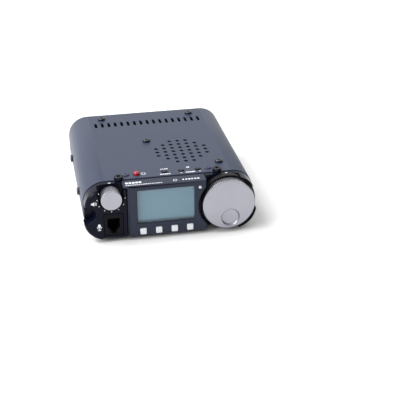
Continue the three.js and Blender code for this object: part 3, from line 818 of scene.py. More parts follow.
BRASS = Finish("brass", srgb(212, 174, 92), srgb(190, 148, 72), 0.28, "brass", metallic=1.0, cloud_scale=300)
HEATSINK = Finish(
    "heatsink_aluminium", srgb(168, 170, 174), srgb(150, 152, 158), 0.45, "heatsink_aluminium", metallic=1.0
)
FLUOROPOLYMER = Finish("fluoropolymer", srgb(240, 240, 236), srgb(230, 230, 224), 0.45, "fluoropolymer")
CONE_PAPER = Finish("cone_paper", srgb(24, 24, 26), srgb(34, 34, 37), 0.85, "cone_paper", grain_scale=1500)
MAGNET = Finish("magnet", srgb(58, 58, 62), srgb(74, 74, 78), 0.55, "magnet", metallic=0.4)
BOARD = BoardFinish(
    "circuit_board", srgb(16, 78, 40), srgb(22, 96, 50), 0.4, "circuit_board", grain_strength=0.5
)
WINDOW = GlassFinish(
    "window_glass", srgb(206, 224, 232), srgb(214, 230, 236), 0.06, "window_glass",
    roughness_spread=0.01, grain_strength=0.0,
)


# ------------------------------------------------------------------ handing a piece over


def settle(
    piece: bpy.types.Object, finish: Finish, replaces: Sequence[str] = (), body: str = ROOT_BODY
) -> bpy.types.Object:
    """Dresses a finished piece, sets it on its body and hides the CAD nodes that it stands for.

    Args:
        piece: The finished mesh object.
        finish: Its finish.
        replaces: The CAD nodes that it stands for.
        body: The CAD body that it rides on.

    Returns:
        The piece.
    """
    piece.data.materials.clear()
    piece.data.materials.append(finish.material())
    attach(piece, body)
    if replaces:
        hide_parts(*replaces)
    LOG.info("%s: %d faces on %s", piece.name, len(piece.data.polygons), body)
    return piece


def carry_over(finish: Finish, *nodes: str) -> None:
    """Gives CAD nodes that stay as they are a better material.

    Args:
        finish: The finish.
        nodes: The nodes' names.
    """
    for name in nodes:
        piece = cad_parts[name]
        piece.data.materials.clear()
        piece.data.materials.append(finish.material())
        LOG.info("%s: carried over in %s", name, finish.name)


# ------------------------------------------------------------------ recipes for what repeats


def perforation_recipe() -> GeometryRecipe:
    """Builds the tree that cuts the speaker grille, the vents and the odd holes into the top cover.

    Returns:
        The recipe.
    """
    recipe = GeometryRecipe("perforations")
    graph = recipe.graph
    pitch = recipe.input("Grille Pitch", float)
    grille_at = recipe.input("Grille Centre", Vector)
    hole = recipe.input("Hole Cutter", bpy.types.Object)
    slots = recipe.input("Slot Count", int)
    slot_pitch = recipe.input("Slot Pitch", float)
    slot_at = recipe.input("First Slot", Vector)
    slot = recipe.input("Slot Cutter", bpy.types.Object)
    others = recipe.input("Other Holes", bpy.types.Object)
    size = graph.math("MULTIPLY", pitch, 6.0)
    grid = graph.out(
        "GeometryNodeMeshGrid", {"Size X": size, "Size Y": size, "Vertices X": 7, "Vertices Y": 7}
    )
    position = graph.out("GeometryNodeInputPosition")
    parts = graph.node(
        "ShaderNodeSeparateXYZ",
        {"Vector": graph.out("ShaderNodeVectorMath", {0: position}, operation="ABSOLUTE")}
    )
    reach = graph.math("ADD", parts.outputs["X"], parts.outputs["Y"])
    outside = graph.math("GREATER_THAN", reach, graph.math("MULTIPLY", pitch, 4.5))
    kept = graph.out("GeometryNodeDeleteGeometry", {"Geometry": grid, "Selection": outside})
    moved = graph.out("GeometryNodeTransform", {"Geometry": kept, "Translation": grille_at})
    holes = _copies(graph, moved, hole)
    step = graph.out("ShaderNodeCombineXYZ", {"X": slot_pitch})
    line = graph.out("GeometryNodeMeshLine", {"Count": slots, "Start Location": slot_at, "Offset": step})
    vents = _copies(graph, line, slot)
    extra = graph.out("GeometryNodeObjectInfo", {"Object": others}, socket="Geometry")
    cover = {"Mesh 1": recipe.source.outputs["Geometry"]}
    cut = graph.node("GeometryNodeMeshBoolean", cover, operation="DIFFERENCE", solver="EXACT")
    for cutter in (holes, vents, extra):
        graph.tree.links.new(
            graph.out("GeometryNodeRealizeInstances", {"Geometry": cutter}), cut.inputs["Mesh 2"]
        )
    recipe.finish(cut.outputs["Mesh"])
    return recipe


def _copies(graph: Graph, points: Any, source: Any, rotation: Any = (0.0, 0.0, 0.0)) -> Any:
    """Sets copies of an object's geometry on points, and gives the instances."""
    shape = graph.out("GeometryNodeObjectInfo", {"Object": source}, socket="Geometry")
    return graph.out(
        "GeometryNodeInstanceOnPoints", {"Points": points, "Instance": shape, "Rotation": rotation}
    )


def copies_recipe() -> GeometryRecipe:
    """Builds the tree that sets a turned copy of one object on each point of a mesh."""
    recipe = GeometryRecipe("copies")
    source = recipe.input("Source", bpy.types.Object)
    turn = recipe.input("Turn", Vector)
    recipe.finish(_copies(recipe.graph, recipe.source.outputs["Geometry"], source, turn))
    return recipe


def knurl_recipe() -> GeometryRecipe:
    """Builds the tree that presses ridges into the rim of a turned piece whose axis runs front to back.

    Returns:
        The recipe.
    """
    recipe = GeometryRecipe("knurl")
    graph = recipe.graph
    ridges = recipe.input("Ridges", float)
    depth = recipe.input("Depth", float)
    centre = recipe.input("Axis", Vector)
    inner = recipe.input("Inner Radius", float)
    front = recipe.input("Front", float)
    back = recipe.input("Back", float)
    offset = graph.out(
        "ShaderNodeVectorMath", {0: graph.out("GeometryNodeInputPosition"), 1: centre}, operation="SUBTRACT"
    )
    parts = graph.node("ShaderNodeSeparateXYZ", {"Vector": offset})
    x, y, z = (parts.outputs[axis] for axis in "XYZ")
    radial = graph.out("ShaderNodeCombineXYZ", {"X": x, "Z": z})
    radius = graph.out("ShaderNodeVectorMath", {0: radial}, socket="Value", operation="LENGTH")
    angle = graph.math("ARCTAN2", z, x)
    wave = graph.math("COSINE", graph.math("MULTIPLY", angle, ridges))
    groove = graph.math("POWER", graph.math("MULTIPLY", graph.math("SUBTRACT", 1.0, wave), 0.5), 3.0)
    on_rim = graph.math("GREATER_THAN", radius, inner)
    in_band = graph.math("MULTIPLY", graph.math("GREATER_THAN", y, front), graph.math("LESS_THAN", y, back))
    sunk = graph.math(
        "MULTIPLY", graph.math("MULTIPLY", groove, depth), graph.math("MULTIPLY", on_rim, in_band)
    )
    unit = graph.out("ShaderNodeVectorMath", {0: radial}, operation="NORMALIZE")
    move = graph.node("ShaderNodeVectorMath", {0: unit}, operation="SCALE")
    graph.tree.links.new(graph.math("MULTIPLY", sunk, -1.0), move.inputs["Scale"])
    settings = {"Geometry": recipe.source.outputs["Geometry"], "Offset": move.outputs[0]}
    recipe.finish(graph.out("GeometryNodeSetPosition", settings))
    return recipe


def dash_recipe() -> GeometryRecipe:
    """Builds the tree that prints a row of plain dashes of uneven width, from a fixed seed.

    Returns:
        The recipe.
    """
    recipe = GeometryRecipe("dashes")
    graph = recipe.graph
    start = recipe.input("Start", Vector)
    step = recipe.input("Step", Vector)
    count = recipe.input("Count", int)
    height = recipe.input("Height", float)
    narrow = recipe.input("Narrow", float)
    wide = recipe.input("Wide", float)
    seed = recipe.input("Seed", int)
    line = graph.out("GeometryNodeMeshLine", {"Count": count, "Start Location": start, "Offset": step})
    width = graph.node("FunctionNodeRandomValue", data_type="FLOAT")
    for key, socket in (("Min", narrow), ("Max", wide), ("Seed", seed)):
        target = next(s for s in width.inputs if s.name == key and s.enabled)
        graph.tree.links.new(socket, target)
    value = next(s for s in width.outputs if s.enabled)
    scale = graph.out("ShaderNodeCombineXYZ", {"X": value, "Y": height, "Z": PRINT_HEIGHT * MM})
    dash = graph.out("GeometryNodeMeshCube", {"Size": (1.0, 1.0, 1.0)})
    settings = {"Points": line, "Instance": dash, "Scale": scale}
    recipe.finish(graph.out("GeometryNodeInstanceOnPoints", settings))
    return recipe


class Recipes:
    """The Geometry Nodes trees, built once."""

    def __init__(self) -> None:
        """Builds every tree."""
        self.perforations = perforation_recipe()
        self.copies = copies_recipe()
        self.knurl = knurl_recipe()
        self.dashes = dash_recipe()


def points_object(name: str, points: Sequence[Vector]) -> bpy.types.Object:
    """Makes an object of loose points, given in millimetres."""
    mesh = bpy.data.meshes.new(name)
    mesh.from_pydata([point * MM for point in points], [], [])
    return new_object(name, mesh)


def scatter(
    recipes: Recipes, name: str, source: bpy.types.Object,
    points: Sequence[Vector], turn: Vector, finish: Finish
) -> bpy.types.Object:
    """Sets a copy of a source object on each point, and removes the source.

    Args:
        recipes: The geometry trees.
        name: The new piece's name.
        source: The object to copy, made about the origin.
        points: Where the copies go, in millimetres.
        turn: The copies' rotation, as angles about x, y and z.
        finish: The finish, for the tree's material.

    Returns:
        One piece that holds all the copies.
    """
    piece = points_object(name, points)
    recipes.copies.run(piece, finish.material(), Source=source, Turn=turn)
    bpy.data.objects.remove(source)
    return smoothed(piece)


# ------------------------------------------------------------------ case


@dataclass
class CaseShell:
    """The painted case: a perforated top cover, a tray below, the rear panel and the gasket in front."""

    recipes: Recipes
    wall: float = 2.0
    tray_wall: float = 2.5
    seam: float = 13.0
    seam_gap: float = 0.3
    rim: float = 0.35
    corner_steps: int = 24
    flat_margin: float = 0.5
    grille_pitch: float = 5.94
    grille_hole: float = 1.5
    slot_count: int = 17
    slot_pitch: float = 5.0
    slot_size: Point = (2.0, 8.25)
    slot_back: float = 96.5
    break_edge: float = 0.12
    lip: float = 0.7
    hole_relief: float = 0.6
    slot_relief: float = 0.5
    gasket_inset: float = 1.3
    gasket_inner: float = 2.6
    screw_hole: float = 1.7
    rear_recess: float = 1.0
    rear_thickness: float = 3.0
    rear_inset: float = 2.8

    def build(self) -> None:
        """Makes and dresses the case's pieces."""
        self._top_cover()
        self._bottom_cover()
        self._rear_panel()
        self._gasket()

    def _sweep(self, name: str, path: Sequence[tuple[Point, Point]], wall: float) -> bpy.types.Object:
        """Sweeps the wall's section along a path.

        Args:
            name: The object's name.
            path: Points on the outside in x and z, each with its outward direction.
            wall: The wall's thickness.

        Returns:
            The closed shell.
        """
        section = rounded_rect((0.0, CASE.front), (wall, CASE.rear), self.rim, 3)
        mesh = bmesh.new()
        rings = [
            [Vector((x - nx * inset, y, z - nz * inset)) * MM for inset, y in section]
            for (x, z), (nx, nz) in path
        ]
        rows = bridged(mesh, rings)
        mesh.faces.new(rows[0])
        mesh.faces.new(rows[-1])
        return new_object(name, mesh)

    def _corner(self, side: int, upper: bool, start: float, end: float) -> list[tuple[Point, Point]]:
        """Gives the path round one corner, with each point's outward direction."""
        x = side * (CASE.half_width - CORNER_RADIUS)
        z = CASE.top - CORNER_RADIUS if upper else CASE.bottom + CORNER_RADIUS
        directions = arc((0.0, 0.0), 1.0, start, end, self.corner_steps)
        return [((x + nx * CORNER_RADIUS, z + nz * CORNER_RADIUS), (nx, nz)) for nx, nz in directions]

    def _flat(self, a: tuple[Point, Point], b: tuple[Point, Point]) -> list[tuple[Point, Point]]:
        """Gives two points just inside the ends of a flat stretch, so that its shading stays flat."""
        (ax, az), normal = a
        (bx, bz), _ = b
        share = self.flat_margin / math.hypot(bx - ax, bz - az)
        return [((ax + (bx - ax) * t, az + (bz - az) * t), normal) for t in (share, 1 - share)]

    def _chain(self, corners: Sequence[list[tuple[Point, Point]]]) -> list[tuple[Point, Point]]:
        """Joins corners with flat stretches."""
        path = list(corners[0])
        for corner in corners[1:]:
            path += self._flat(path[-1], corner[0]) + corner
        return path

    def _top_cover(self) -> None:
        """Makes the top cover and cuts its perforations."""
        dip = math.degrees(math.asin((CORNER_RADIUS - self.seam) / CORNER_RADIUS))
        path = self._chain([
            self._corner(1, False, -dip, 0),
            self._corner(1, True, 0, 90),
            self._corner(-1, True, 90, 180),
            self._corner(-1, False, 180, 180 + dip),
        ])
        cover = self._sweep("top_cover_shell", path, self.wall)
        speaker = middle("speaker_cone")
        hole = self._round_cutter("hole_cutter", self.grille_hole, relief=self.hole_relief)
        cutters = [hole, self._slot_cutter(), self._other_holes()]
        first = Vector(
            (-self.slot_pitch * (self.slot_count - 1) / 2, CASE.front + self.slot_back, CASE.top)
        ) * MM
        self.recipes.perforations.run(
            cover, CASE_PAINT.material(),
            Grille_Pitch=self.grille_pitch * MM, Grille_Centre=Vector((speaker.x, speaker.y, CASE.top)) * MM,
            Slot_Count=self.slot_count, Slot_Pitch=self.slot_pitch * MM, First_Slot=first,
            Hole_Cutter=cutters[0], Slot_Cutter=cutters[1], Other_Holes=cutters[2],
        )
        for cutter in cutters:
            bpy.data.objects.remove(cutter)
        settle(self._flat_topped(cover), CASE_PAINT, ["top_cover"])

    def _flat_topped(self, cover: bpy.types.Object) -> bpy.types.Object:
        """Shades the perforated cover smoothly, with its flat top shaded flat between the holes."""
        cover.data.shade_smooth()
        cover.data.set_sharp_from_angle(angle=math.radians(30))
        edge = (CASE.half_width - CORNER_RADIUS) * MM
        for polygon in cover.data.polygons:
            inner = all(abs(cover.data.vertices[i].co.x) < edge - 1e-6 for i in polygon.vertices)
            polygon.use_smooth = abs(polygon.normal.z) < 0.99999 or not inner
        return cover

    def _round_cutter(
        self, name: str, radius: float, at: Point = (0.0, 0.0), base: float = 0.0, relief: float = 0.0
    ) -> bpy.types.Object:
        """Makes a round cutter that breaks the hole's upper edge.

        Args:
            name: The object's name.
            radius: The hole's radius.
            at: Its place in x and y.
            base: The height of the surface that it cuts.
            relief: How much wider the hole is below its lip.

        Returns:
            The cutter.
        """
        edge, lip = self.break_edge, self.lip
        low = [
            (0.0, CUTTER_DEPTH), (radius + relief, CUTTER_DEPTH),
            (radius + relief, -lip - relief / 3), (radius, -lip),
        ]
        high = [(radius, -edge), (radius + edge * 2, edge), (radius + edge * 2, 1.0), (0.0, 1.0)]
        return turned(name, [*low, *high], Vector((at[0], at[1], base)), Turn.UP, 24)

    def _slot_cutter(self) -> bpy.types.Object:
        """Makes the cutter of one vent slot, about the origin, wider below the lip."""
        width, length = self.slot_size
        edge, relief = self.break_edge, self.slot_relief
        mesh = bmesh.new()
        stations = [
            (relief, CUTTER_DEPTH), (relief, -self.lip - relief / 3), (0.0, -self.lip),
            (0.0, -edge), (edge * 2, edge), (edge * 2, 1.0),
        ]
        rings = []
        for grow, height in stations:
            x, y = width / 2 + grow, length / 2 + grow
            rings.append(
                [Vector((u, v, height)) * MM for u, v in rounded_rect((-x, -y), (x, y), x - 0.01, 6)]
            )
        rows = bridged(mesh, rings)
        mesh.faces.new(rows[0])
        mesh.faces.new(rows[-1])
        return new_object("slot_cutter", mesh)

    def _other_holes(self) -> bpy.types.Object:
        """Makes the cutters for keys and screws as one object."""
        sizes = {"power_button": 2.4, "mode_key": 2.2, "band_down_key": 2.2, "band_up_key": 2.2}
        sizes |= {f"key_board_screw_{side}": 1.5 for side in ("left", "right")}
        sizes |= {f"edge_bolt_{side}": 1.5 for side in ("left", "right")}
        sizes |= {
            f"cover_screw_{end}": self.screw_hole for end in ("rear_left", "rear_right", "middle", "front")
        }
        cutters = []
        for node, radius in sizes.items():
            at = middle(node)
            cutters.append(self._round_cutter(f"{node}_hole", radius, (at.x, at.y), CASE.top))
        return merged("other_holes", cutters)

    def _bottom_cover(self) -> None:
        """Makes the tray that closes the case from below."""
        dip = math.degrees(math.asin((CORNER_RADIUS - self.seam + self.seam_gap) / CORNER_RADIUS))
        path = self._chain([self._corner(-1, False, 180 + dip, 270), self._corner(1, False, 270, 360 - dip)])
        settle(smoothed(self._sweep("bottom_tray", path, self.tray_wall)), CASE_PAINT, ["bottom_cover"])

    def _rear_panel(self) -> None:
        """Makes the rear panel, with a clear hole for each socket."""
        sockets = {
            "antenna_socket": 4.9, "ground_stud": 2.3, "power_jack": 5.1, "accessory_socket": 5.8,
            "key_jack": 3.3
        }
        holes = [Edge(circle((middle(n).x, middle(n).z), r), 0.15) for n, r in sockets.items()]
        far = CASE.rear - self.rear_recess
        top = span("rear_panel")[1].z
        outline = [(x, min(z, top)) for x, z in case_outline(self.rear_inset)]
        panel = plate("rear_plate", Edge(outline, 0.2), far, far - self.rear_thickness, holes, View.REAR)
        settle(smoothed(panel), CASE_PAINT, ["rear_panel"])

    def _gasket(self) -> None:
        """Makes the rubber gasket between case and front panel."""
        low, high = span("front_gasket")
        outer = Edge(case_outline(self.gasket_inset), 0.2, 0.2)
        inner = Edge(case_outline(self.gasket_inner))
        settle(smoothed(plate("gasket_ring", outer, low.y, high.y, [inner])), RUBBER, ["front_gasket"])


# ------------------------------------------------------------------ front panel


@dataclass
class FrontPanel:
    """The moulded front panel: a back plate, the block on the left with its pockets, and two corner horns."""

    floor: float = -4.0
    inset: float = 0.4
    lip: float = 0.5
    lip_start: float = 48.1
    block_end: float = -30.7
    block_bottom: float = 1.2
    strip_top: float = 37.4
    pocket: float = 8.5
    mouth: float = -50.55
    scallop_x: float = -58.4
    scallop_radius: float = 6.2
    horn_pocket: float = 20.9
    chamfer: float = 1.1
    pocket_share: float = 0.15
    roof: Point = (-33.1, 24.9)

    def build(self) -> None:
        """Makes and dresses the panel."""
        face, back = span("front_panel")[0].y, CASE.front - 1.3
        floor = CASE.front + self.floor
        jack_low, jack_high = span("microphone_jack")
        recess = rounded_rect(
            (jack_low.x - 0.3, jack_low.z - 0.3), (jack_high.x + 0.3, jack_high.z + 0.3), 0.3, 3
        )
        base = plate("panel_base", Edge(self._base_outline()), floor, back, [Edge(recess)])
        block = plate("panel_block", self._block_edge(), face, floor, [Edge(recess, 0.15)])
        horns = [
            plate("panel_horn", Edge(self._horn_outline(side), soft), face, floor)
            for side, soft in ((1, 0.1), (-1, 0.3))
        ]
        panel = merged("panel_shell", [base, block, *horns])
        settle(smoothed(panel), PANEL_PLASTIC, ["front_panel"])

    def _base_outline(self) -> list[Point]:
        """Draws the back plate, with its top lowered under the pod's roof."""
        left, right = self.roof
        low, top = CASE.bottom + self.strip_top, CASE.top - self.inset
        points = []
        for x, z in case_outline(self.inset):
            points.append((x, z))
            if math.isclose(z, top) and math.isclose(x, CASE.half_width - CORNER_RADIUS):
                points += [(right, top), (right, low), (left, low), (left, top)]
        return points

    def _block_edge(self) -> Edge:
        """Draws the left block with its open pocket, its finger notch and the lip round its lower corner.

        Returns:
            The outline, with a full chamfer only along its outer arcs.
        """
        knob = middle("volume_knob")
        well = (knob.x, knob.z)
        upper = (-CASE.half_width + CORNER_RADIUS, CASE.top - CORNER_RADIUS)
        lower = (upper[0], CASE.bottom + CORNER_RADIUS)
        upper_radius, lower_radius = CORNER_RADIUS - self.inset, CORNER_RADIUS + self.lip
        notch = (self.scallop_x, CASE.bottom + MID_HEIGHT)
        entry = meeting(notch, self.scallop_radius, upper, upper_radius, 1)
        leave = meeting(notch, self.scallop_radius, lower, lower_radius, -1)
        mouth = math.degrees(math.acos((self.mouth - upper[0]) / upper_radius))
        foot = 360 - math.degrees(math.acos((-self.lip_start - lower[0]) / lower_radius))
        strip, bottom = CASE.bottom + self.strip_top, CASE.bottom + self.block_bottom
        stretches = [
            (
                [(self.block_end, bottom), (self.block_end, strip), (well[0] + self.pocket, strip)],
                self.pocket_share
            ),
            (arc(well, self.pocket, 0, -180, 40), self.pocket_share),
            (arc(upper, upper_radius, mouth, bearing(upper, entry), 18), 1.0),
            (
                arc(notch, self.scallop_radius, bearing(notch, entry), bearing(notch, leave), 24)[1:-1],
                self.pocket_share
            ),
            (arc(lower, lower_radius, bearing(lower, leave) + 360, foot, 22), 1.0),
            ([(-self.lip_start, bottom)], self.pocket_share),
        ]
        points = [point for stretch, _ in stretches for point in stretch]
        weights = [weight for stretch, weight in stretches for _ in stretch]
        return Edge(points, chamfer=self.chamfer, weights=weights)

    def _horn_outline(self, side: int) -> list[Point]:
        """Draws a corner horn beside the tuning knob: 1 for the upper one, -1 for the lower one."""
        knob = middle("tuning_collar")
        well = (knob.x, CASE.bottom + MID_HEIGHT)
        corner = (CASE.half_width - CORNER_RADIUS, CASE.top - CORNER_RADIUS)
        radius = CORNER_RADIUS - self.inset if side > 0 else CORNER_RADIUS + self.lip
        tip, root = (meeting(well, self.horn_pocket, corner, radius, way) for way in (-1, 1))
        start_x = max(self.lip_start, root[0] + 0.1)
        start = math.degrees(math.acos((start_x - corner[0]) / radius))
        well_start = math.degrees(math.acos((start_x - well[0]) / self.horn_pocket))
        points = [
            *arc(corner, radius, start, bearing(corner, tip), 18),
            *arc(well, self.horn_pocket, bearing(well, tip), well_start, 18)[1:],
        ]
        return points if side > 0 else [(x, 2 * well[1] - z) for x, z in reversed(points)]


# ------------------------------------------------------------------ display pod


@dataclass
class DisplayPod:
    """The display pod: its moulded bezel, the window, the screen, four keys and the status light."""

    wall: float = 2.0
    shelf: float = 37.7
    left: float = -30.2
    roof_right: float = 24.6
    foot_right: float = 25.3
    pocket: float = 20.9
    face_rounding: float = 1.0
    foot: float = 0.9
    window: tuple[Point, Point] = ((-23.6, 10.3), (16.5, 35.8))
    bay: tuple[Point, Point] = ((-26.5, 1.5), (18.0, 37.3))
    key_clearance: float = 0.3
    key_rounding: float = 0.45
    key_names: Sequence[str] = field(default_factory=lambda: [f"function_key_{i}" for i in range(1, 5)])

    def build(self) -> None:
        """Makes and dresses the pod's pieces."""
        self._bezel()
        self._screen()
        for name in self.key_names:
            self._key(name)
        self._status_light()

    def _raised(self, corners: tuple[Point, Point]) -> tuple[Point, Point]:
        """Lifts a rectangle from the case's underside into the frame."""
        (x0, z0), (x1, z1) = corners
        return (x0, z0 + CASE.bottom), (x1, z1 + CASE.bottom)

    def _outline(self) -> list[Point]:
        """Draws the pod's face, with the hollow that follows the tuning knob and the ear of its roof."""
        knob = middle("tuning_collar")
        well = (knob.x, CASE.bottom + MID_HEIGHT)
        upper = math.degrees(math.acos((well[0] - self.roof_right) / self.pocket))
        lower = math.degrees(math.acos((well[0] - self.foot_right) / self.pocket))
        (ear, _, _), (_, _, top) = span("display_bezel")
        bottom = CASE.bottom + self.foot
        return [
            *arc((self.left + 0.4, bottom + 0.4), 0.4, 180, 270, 4),
            *arc((self.foot_right - 1.0, bottom + 1.0), 1.0, -90, 0, 8),
            *arc(well, self.pocket, 180 + lower, 180 - upper, 40),
            (self.roof_right, top),
            (ear, top),
            (ear, bottom + self.shelf),
            (self.left, bottom + self.shelf),
        ]

    def _bezel(self) -> None:
        """Makes the bezel from its face, its body and its roof."""
        face = span("display_bezel")[0].y
        inner = face + self.wall
        back = CASE.front - 4.3
        outline = self._outline()
        light = middle("status_light")
        keys = []
        for name in self.key_names:
            low, high = self._cap(name)
            grow = self.key_clearance
            keys.append(
                rounded_rect((low[0] - grow, low[1] - grow), (high[0] + grow, high[1] + grow), 0.7, 5)
            )
        hole = circle((light.x, light.z), 1.6, 32)
        openings = [
            Edge(rounded_rect(*self._raised(self.window), 0.8, 5), 0.5), *(Edge(key, 0.25) for key in keys)
        ]
        front = plate(
            "pod_face", Edge(outline, self.face_rounding), face, inner, [*openings, Edge(hole, 0.15)]
        )
        bay = rounded_rect(*self._raised(self.bay), 0.5, 3)
        body = plate("pod_body", Edge(outline), inner, back, [Edge(bay), Edge(hole)])
        low = (span("display_bezel")[0].x, CASE.bottom + self.shelf)
        high = (self.roof_right, span("display_bezel")[1].z)
        roof = plate(
            "pod_roof", Edge([low, (high[0], low[1]), high, (low[0], high[1])]), back, CASE.front - 1.4
        )
        settle(smoothed(merged("pod_bezel", [front, body, roof])), POD_PLASTIC, ["display_bezel"])

    def _screen(self) -> None:
        """Makes the clear window and the screen behind it."""
        low, high = span("display_window")
        glass = Edge(rounded_rect((low.x, low.z), (high.x, high.z), 0.6, 4), 0.12, 0.12)
        settle(smoothed(plate("window_pane", glass, low.y, high.y)), WINDOW, ["display_window"])
        low, high = span("lcd_module")
        # the screen's painted shade starts at the window's lower edge
        finish = ScreenFinish(
            "lcd", srgb(90, 127, 145), srgb(85, 122, 141), 0.3, "lcd",
            roughness_spread=0.03, cloud_scale=40, grain_strength=0.004,
            floor=CASE.bottom + self.window[0][1],
        )
        module = Edge(rounded_rect((low.x, low.z), (high.x, high.z), 0.5, 4), 0.2)
        settle(smoothed(plate("screen_panel", module, low.y, high.y)), finish, ["lcd_module"])

    def _cap(self, name: str) -> tuple[Point, Point]:
        """Gives a key cap's rectangle, which is narrower than its heel."""
        at = middle(name)
        return (at.x - 2.2, at.z - 2.3), (at.x + 2.2, at.z + 2.3)

    def _key(self, name: str) -> None:
        """Makes one function key: a soft-edged cap on a flat heel."""
        low, high = span(name)
        heel_front = high.y - 0.8
        cap = plate("cap", Edge(rounded_rect(*self._cap(name), 0.6, 6), self.key_rounding), low.y, heel_front)
        heel = plate("heel", Edge(rounded_rect((low.x, low.z), (high.x, high.z), 0.4, 4)), heel_front, high.y)
        settle(smoothed(merged(f"{name}_cap", [cap, heel])), WHITE_KEY, [name], name)

    def _status_light(self) -> None:
        """Makes the domed light."""
        low, high = span("status_light")
        at = middle("status_light")
        dome = [(1.2 * math.sin(a), low.y + 0.45 * (1 - math.cos(a))) for a in quarter_angles(8)]
        profile = [*dome, (1.2, high.y), (0.0, high.y)]
        lens = turned("status_lens", profile, Vector((at.x, 0, at.z)), steps=40)
        settle(smoothed(lens), LENS, ["status_light"])


# ------------------------------------------------------------------ knobs


@dataclass
class Knob:
    """A turned knob with a knurled rim and, where it has one, a finger dish."""

    recipes: Recipes
    node: str
    body: str
    ridges: int
    ridge_depth: float
    chamfer: float
    face_land: float
    rim_wall: float = 2.2
    dish: tuple[float, float, float] | None = None
    samples_per_ridge: int = 6

    def build(self) -> None:
        """Makes and dresses the knob."""
        low, high = span(self.node)
        radius = (high.x - low.x) / 2
        axis = Vector(((low.x + high.x) / 2, 0.0, CASE.bottom + self._height(high.z - radius)))
        profile = self._profile(radius, low.y, high.y)
        knob = turned(self.node + "_turned", profile, axis, steps=self.ridges * self.samples_per_ridge)
        finish = self._finish(axis)
        self.recipes.knurl.run(
            knob, finish.material(), Ridges=float(self.ridges), Depth=self.ridge_depth * MM, Axis=axis * MM,
            Inner_Radius=(radius - self.chamfer - 0.05) * MM,
            Front=(low.y + 0.1) * MM, Back=(high.y - 0.1) * MM,
        )
        if self.dish:
            self._cut_dish(knob, axis, low.y)
        settle(smoothed(knob, 40.0), finish, [self.node], self.body)

    def _height(self, centre_z: float) -> float:
        """Gives the axis's height above the case's underside, to a tenth of a millimetre."""
        return round(centre_z - CASE.bottom, 1)

    def _finish(self, axis: Vector) -> TurnedFinish:
        """Gives the silver finish, with its turning marks about this knob's axis."""
        return TurnedFinish(
            f"{self.node}_silver", srgb(163, 163, 171), srgb(153, 153, 162), 0.34, "knob_aluminium",
            metallic=1.0, roughness_spread=0.03, cloud_scale=90, grain_scale=3000, grain_strength=0.08,
            grain_depth=0.00003, axis=(axis.x, axis.z),
        )

    def _profile(self, radius: float, face: float, rear: float) -> list[Point]:
        """Draws the knob's section from its face round to the hollow at its back."""
        edge = self.chamfer
        rounding = [
            (radius - edge + edge * math.sin(a), face + edge * (1 - math.cos(a)))
            for a in quarter_angles(6)
        ]
        inner = radius - self.rim_wall
        return [
            (0.0, face), (self.face_land * 0.5, face), (self.face_land, face), *rounding,
            (radius, face + edge + 0.1), (radius, (face + rear) / 2), (radius, rear - 0.4),
            (radius - 0.3, rear), (inner, rear), (inner, face + 3.6), (0.0, face + 3.6),
        ]

    def _cut_dish(self, knob: bpy.types.Object, axis: Vector, face: float) -> None:
        """Cuts the shallow finger dish into the face."""
        dx, dz, radius = self.dish
        slope = [
            (radius - 1.1 * t, face + 1.3 * math.sin(math.pi / 2 * t)) for t in (i / 6 for i in range(7))
        ]
        floor = [(radius - 2.2, face + 1.38), (radius * 0.3, face + 1.45), (0.0, face + 1.45)]
        profile = [
            (0.0, face - 1.0), (radius + 0.12, face - 1.0), (radius + 0.12, face - 0.01), *slope, *floor
        ]
        cutter = turned("dish_cutter", profile, Vector((axis.x + dx, 0.0, axis.z + dz)), steps=96)
        carved(knob, cutter)


@dataclass
class Dials:
    """The tuning and volume knobs, and the dark collar round the first."""

    recipes: Recipes

    def build(self) -> None:
        """Makes and dresses the knobs, the collar and the shafts' finish."""
        Knob(
            self.recipes, "tuning_knob", "tuning_dial",
            ridges=96, ridge_depth=0.6, chamfer=0.9, face_land=17.4,
            dish=(1.1, -10.1, 6.6),
        ).build()
        Knob(
            self.recipes, "volume_knob", "volume_dial",
            ridges=40, ridge_depth=0.4, chamfer=0.6, face_land=6.2, rim_wall=1.4
        ).build()
        low, high = span("tuning_collar")
        at = middle("tuning_collar")
        inner, outer = 19.3, (high.x - low.x) / 2
        profile = [
            (inner, low.y), (outer - 0.25, low.y), (outer, low.y + 0.25),
            (outer, high.y), (inner, high.y), (inner, low.y),
        ]
        collar = turned("tuning_ring", profile, Vector((at.x, 0.0, at.z)), steps=120)
        settle(smoothed(collar), BLACK_PLASTIC, ["tuning_collar"])
        carry_over(STEEL, "tuning_shaft", "volume_shaft")
        carry_over(NICKEL, "tuning_encoder", "volume_control")


# ------------------------------------------------------------------ microphone socket


@dataclass
class MicrophoneSocket:
    """The modular socket: a black insert with a stepped opening."""

    steps: Sequence[tuple[float, float, float]] = (
        (-44.5, -36.0, 16.3), (-43.1, -37.4, 9.0), (-41.9, -38.6, 7.0),
    )
    foot: float = 4.7
    depth: float = 12.0

    def build(self) -> None:
        """Makes and dresses the socket."""
        low, high = span("microphone_jack")
        outer = rounded_rect((low.x, low.z), (high.x, high.z), 0.35, 4)
        inner = low.y + self.depth
        sleeve = plate("socket_sleeve", Edge(outer, 0.25), low.y, inner, [Edge(self._opening(), 0.2)])
        back = plate("socket_back", Edge(outer), inner, high.y)
        settle(smoothed(merged("socket_insert", [sleeve, back])), SOCKET_PLASTIC, ["microphone_jack"])
        carry_over(BRASS, "mic_contacts")

    def _opening(self) -> list[Point]:
        """Draws the opening, which narrows downwards in steps for the plug's latch."""
        right, left = [], []
        floors = [step[2] for step in self.steps[1:]] + [self.foot]
        for (x0, x1, top), bottom in zip(self.steps, floors):
            right += [(x1, top + CASE.bottom), (x1, bottom + CASE.bottom)]
            left += [(x0, top + CASE.bottom), (x0, bottom + CASE.bottom)]
        return [*right, *reversed(left)]


# ------------------------------------------------------------------ keys on the top


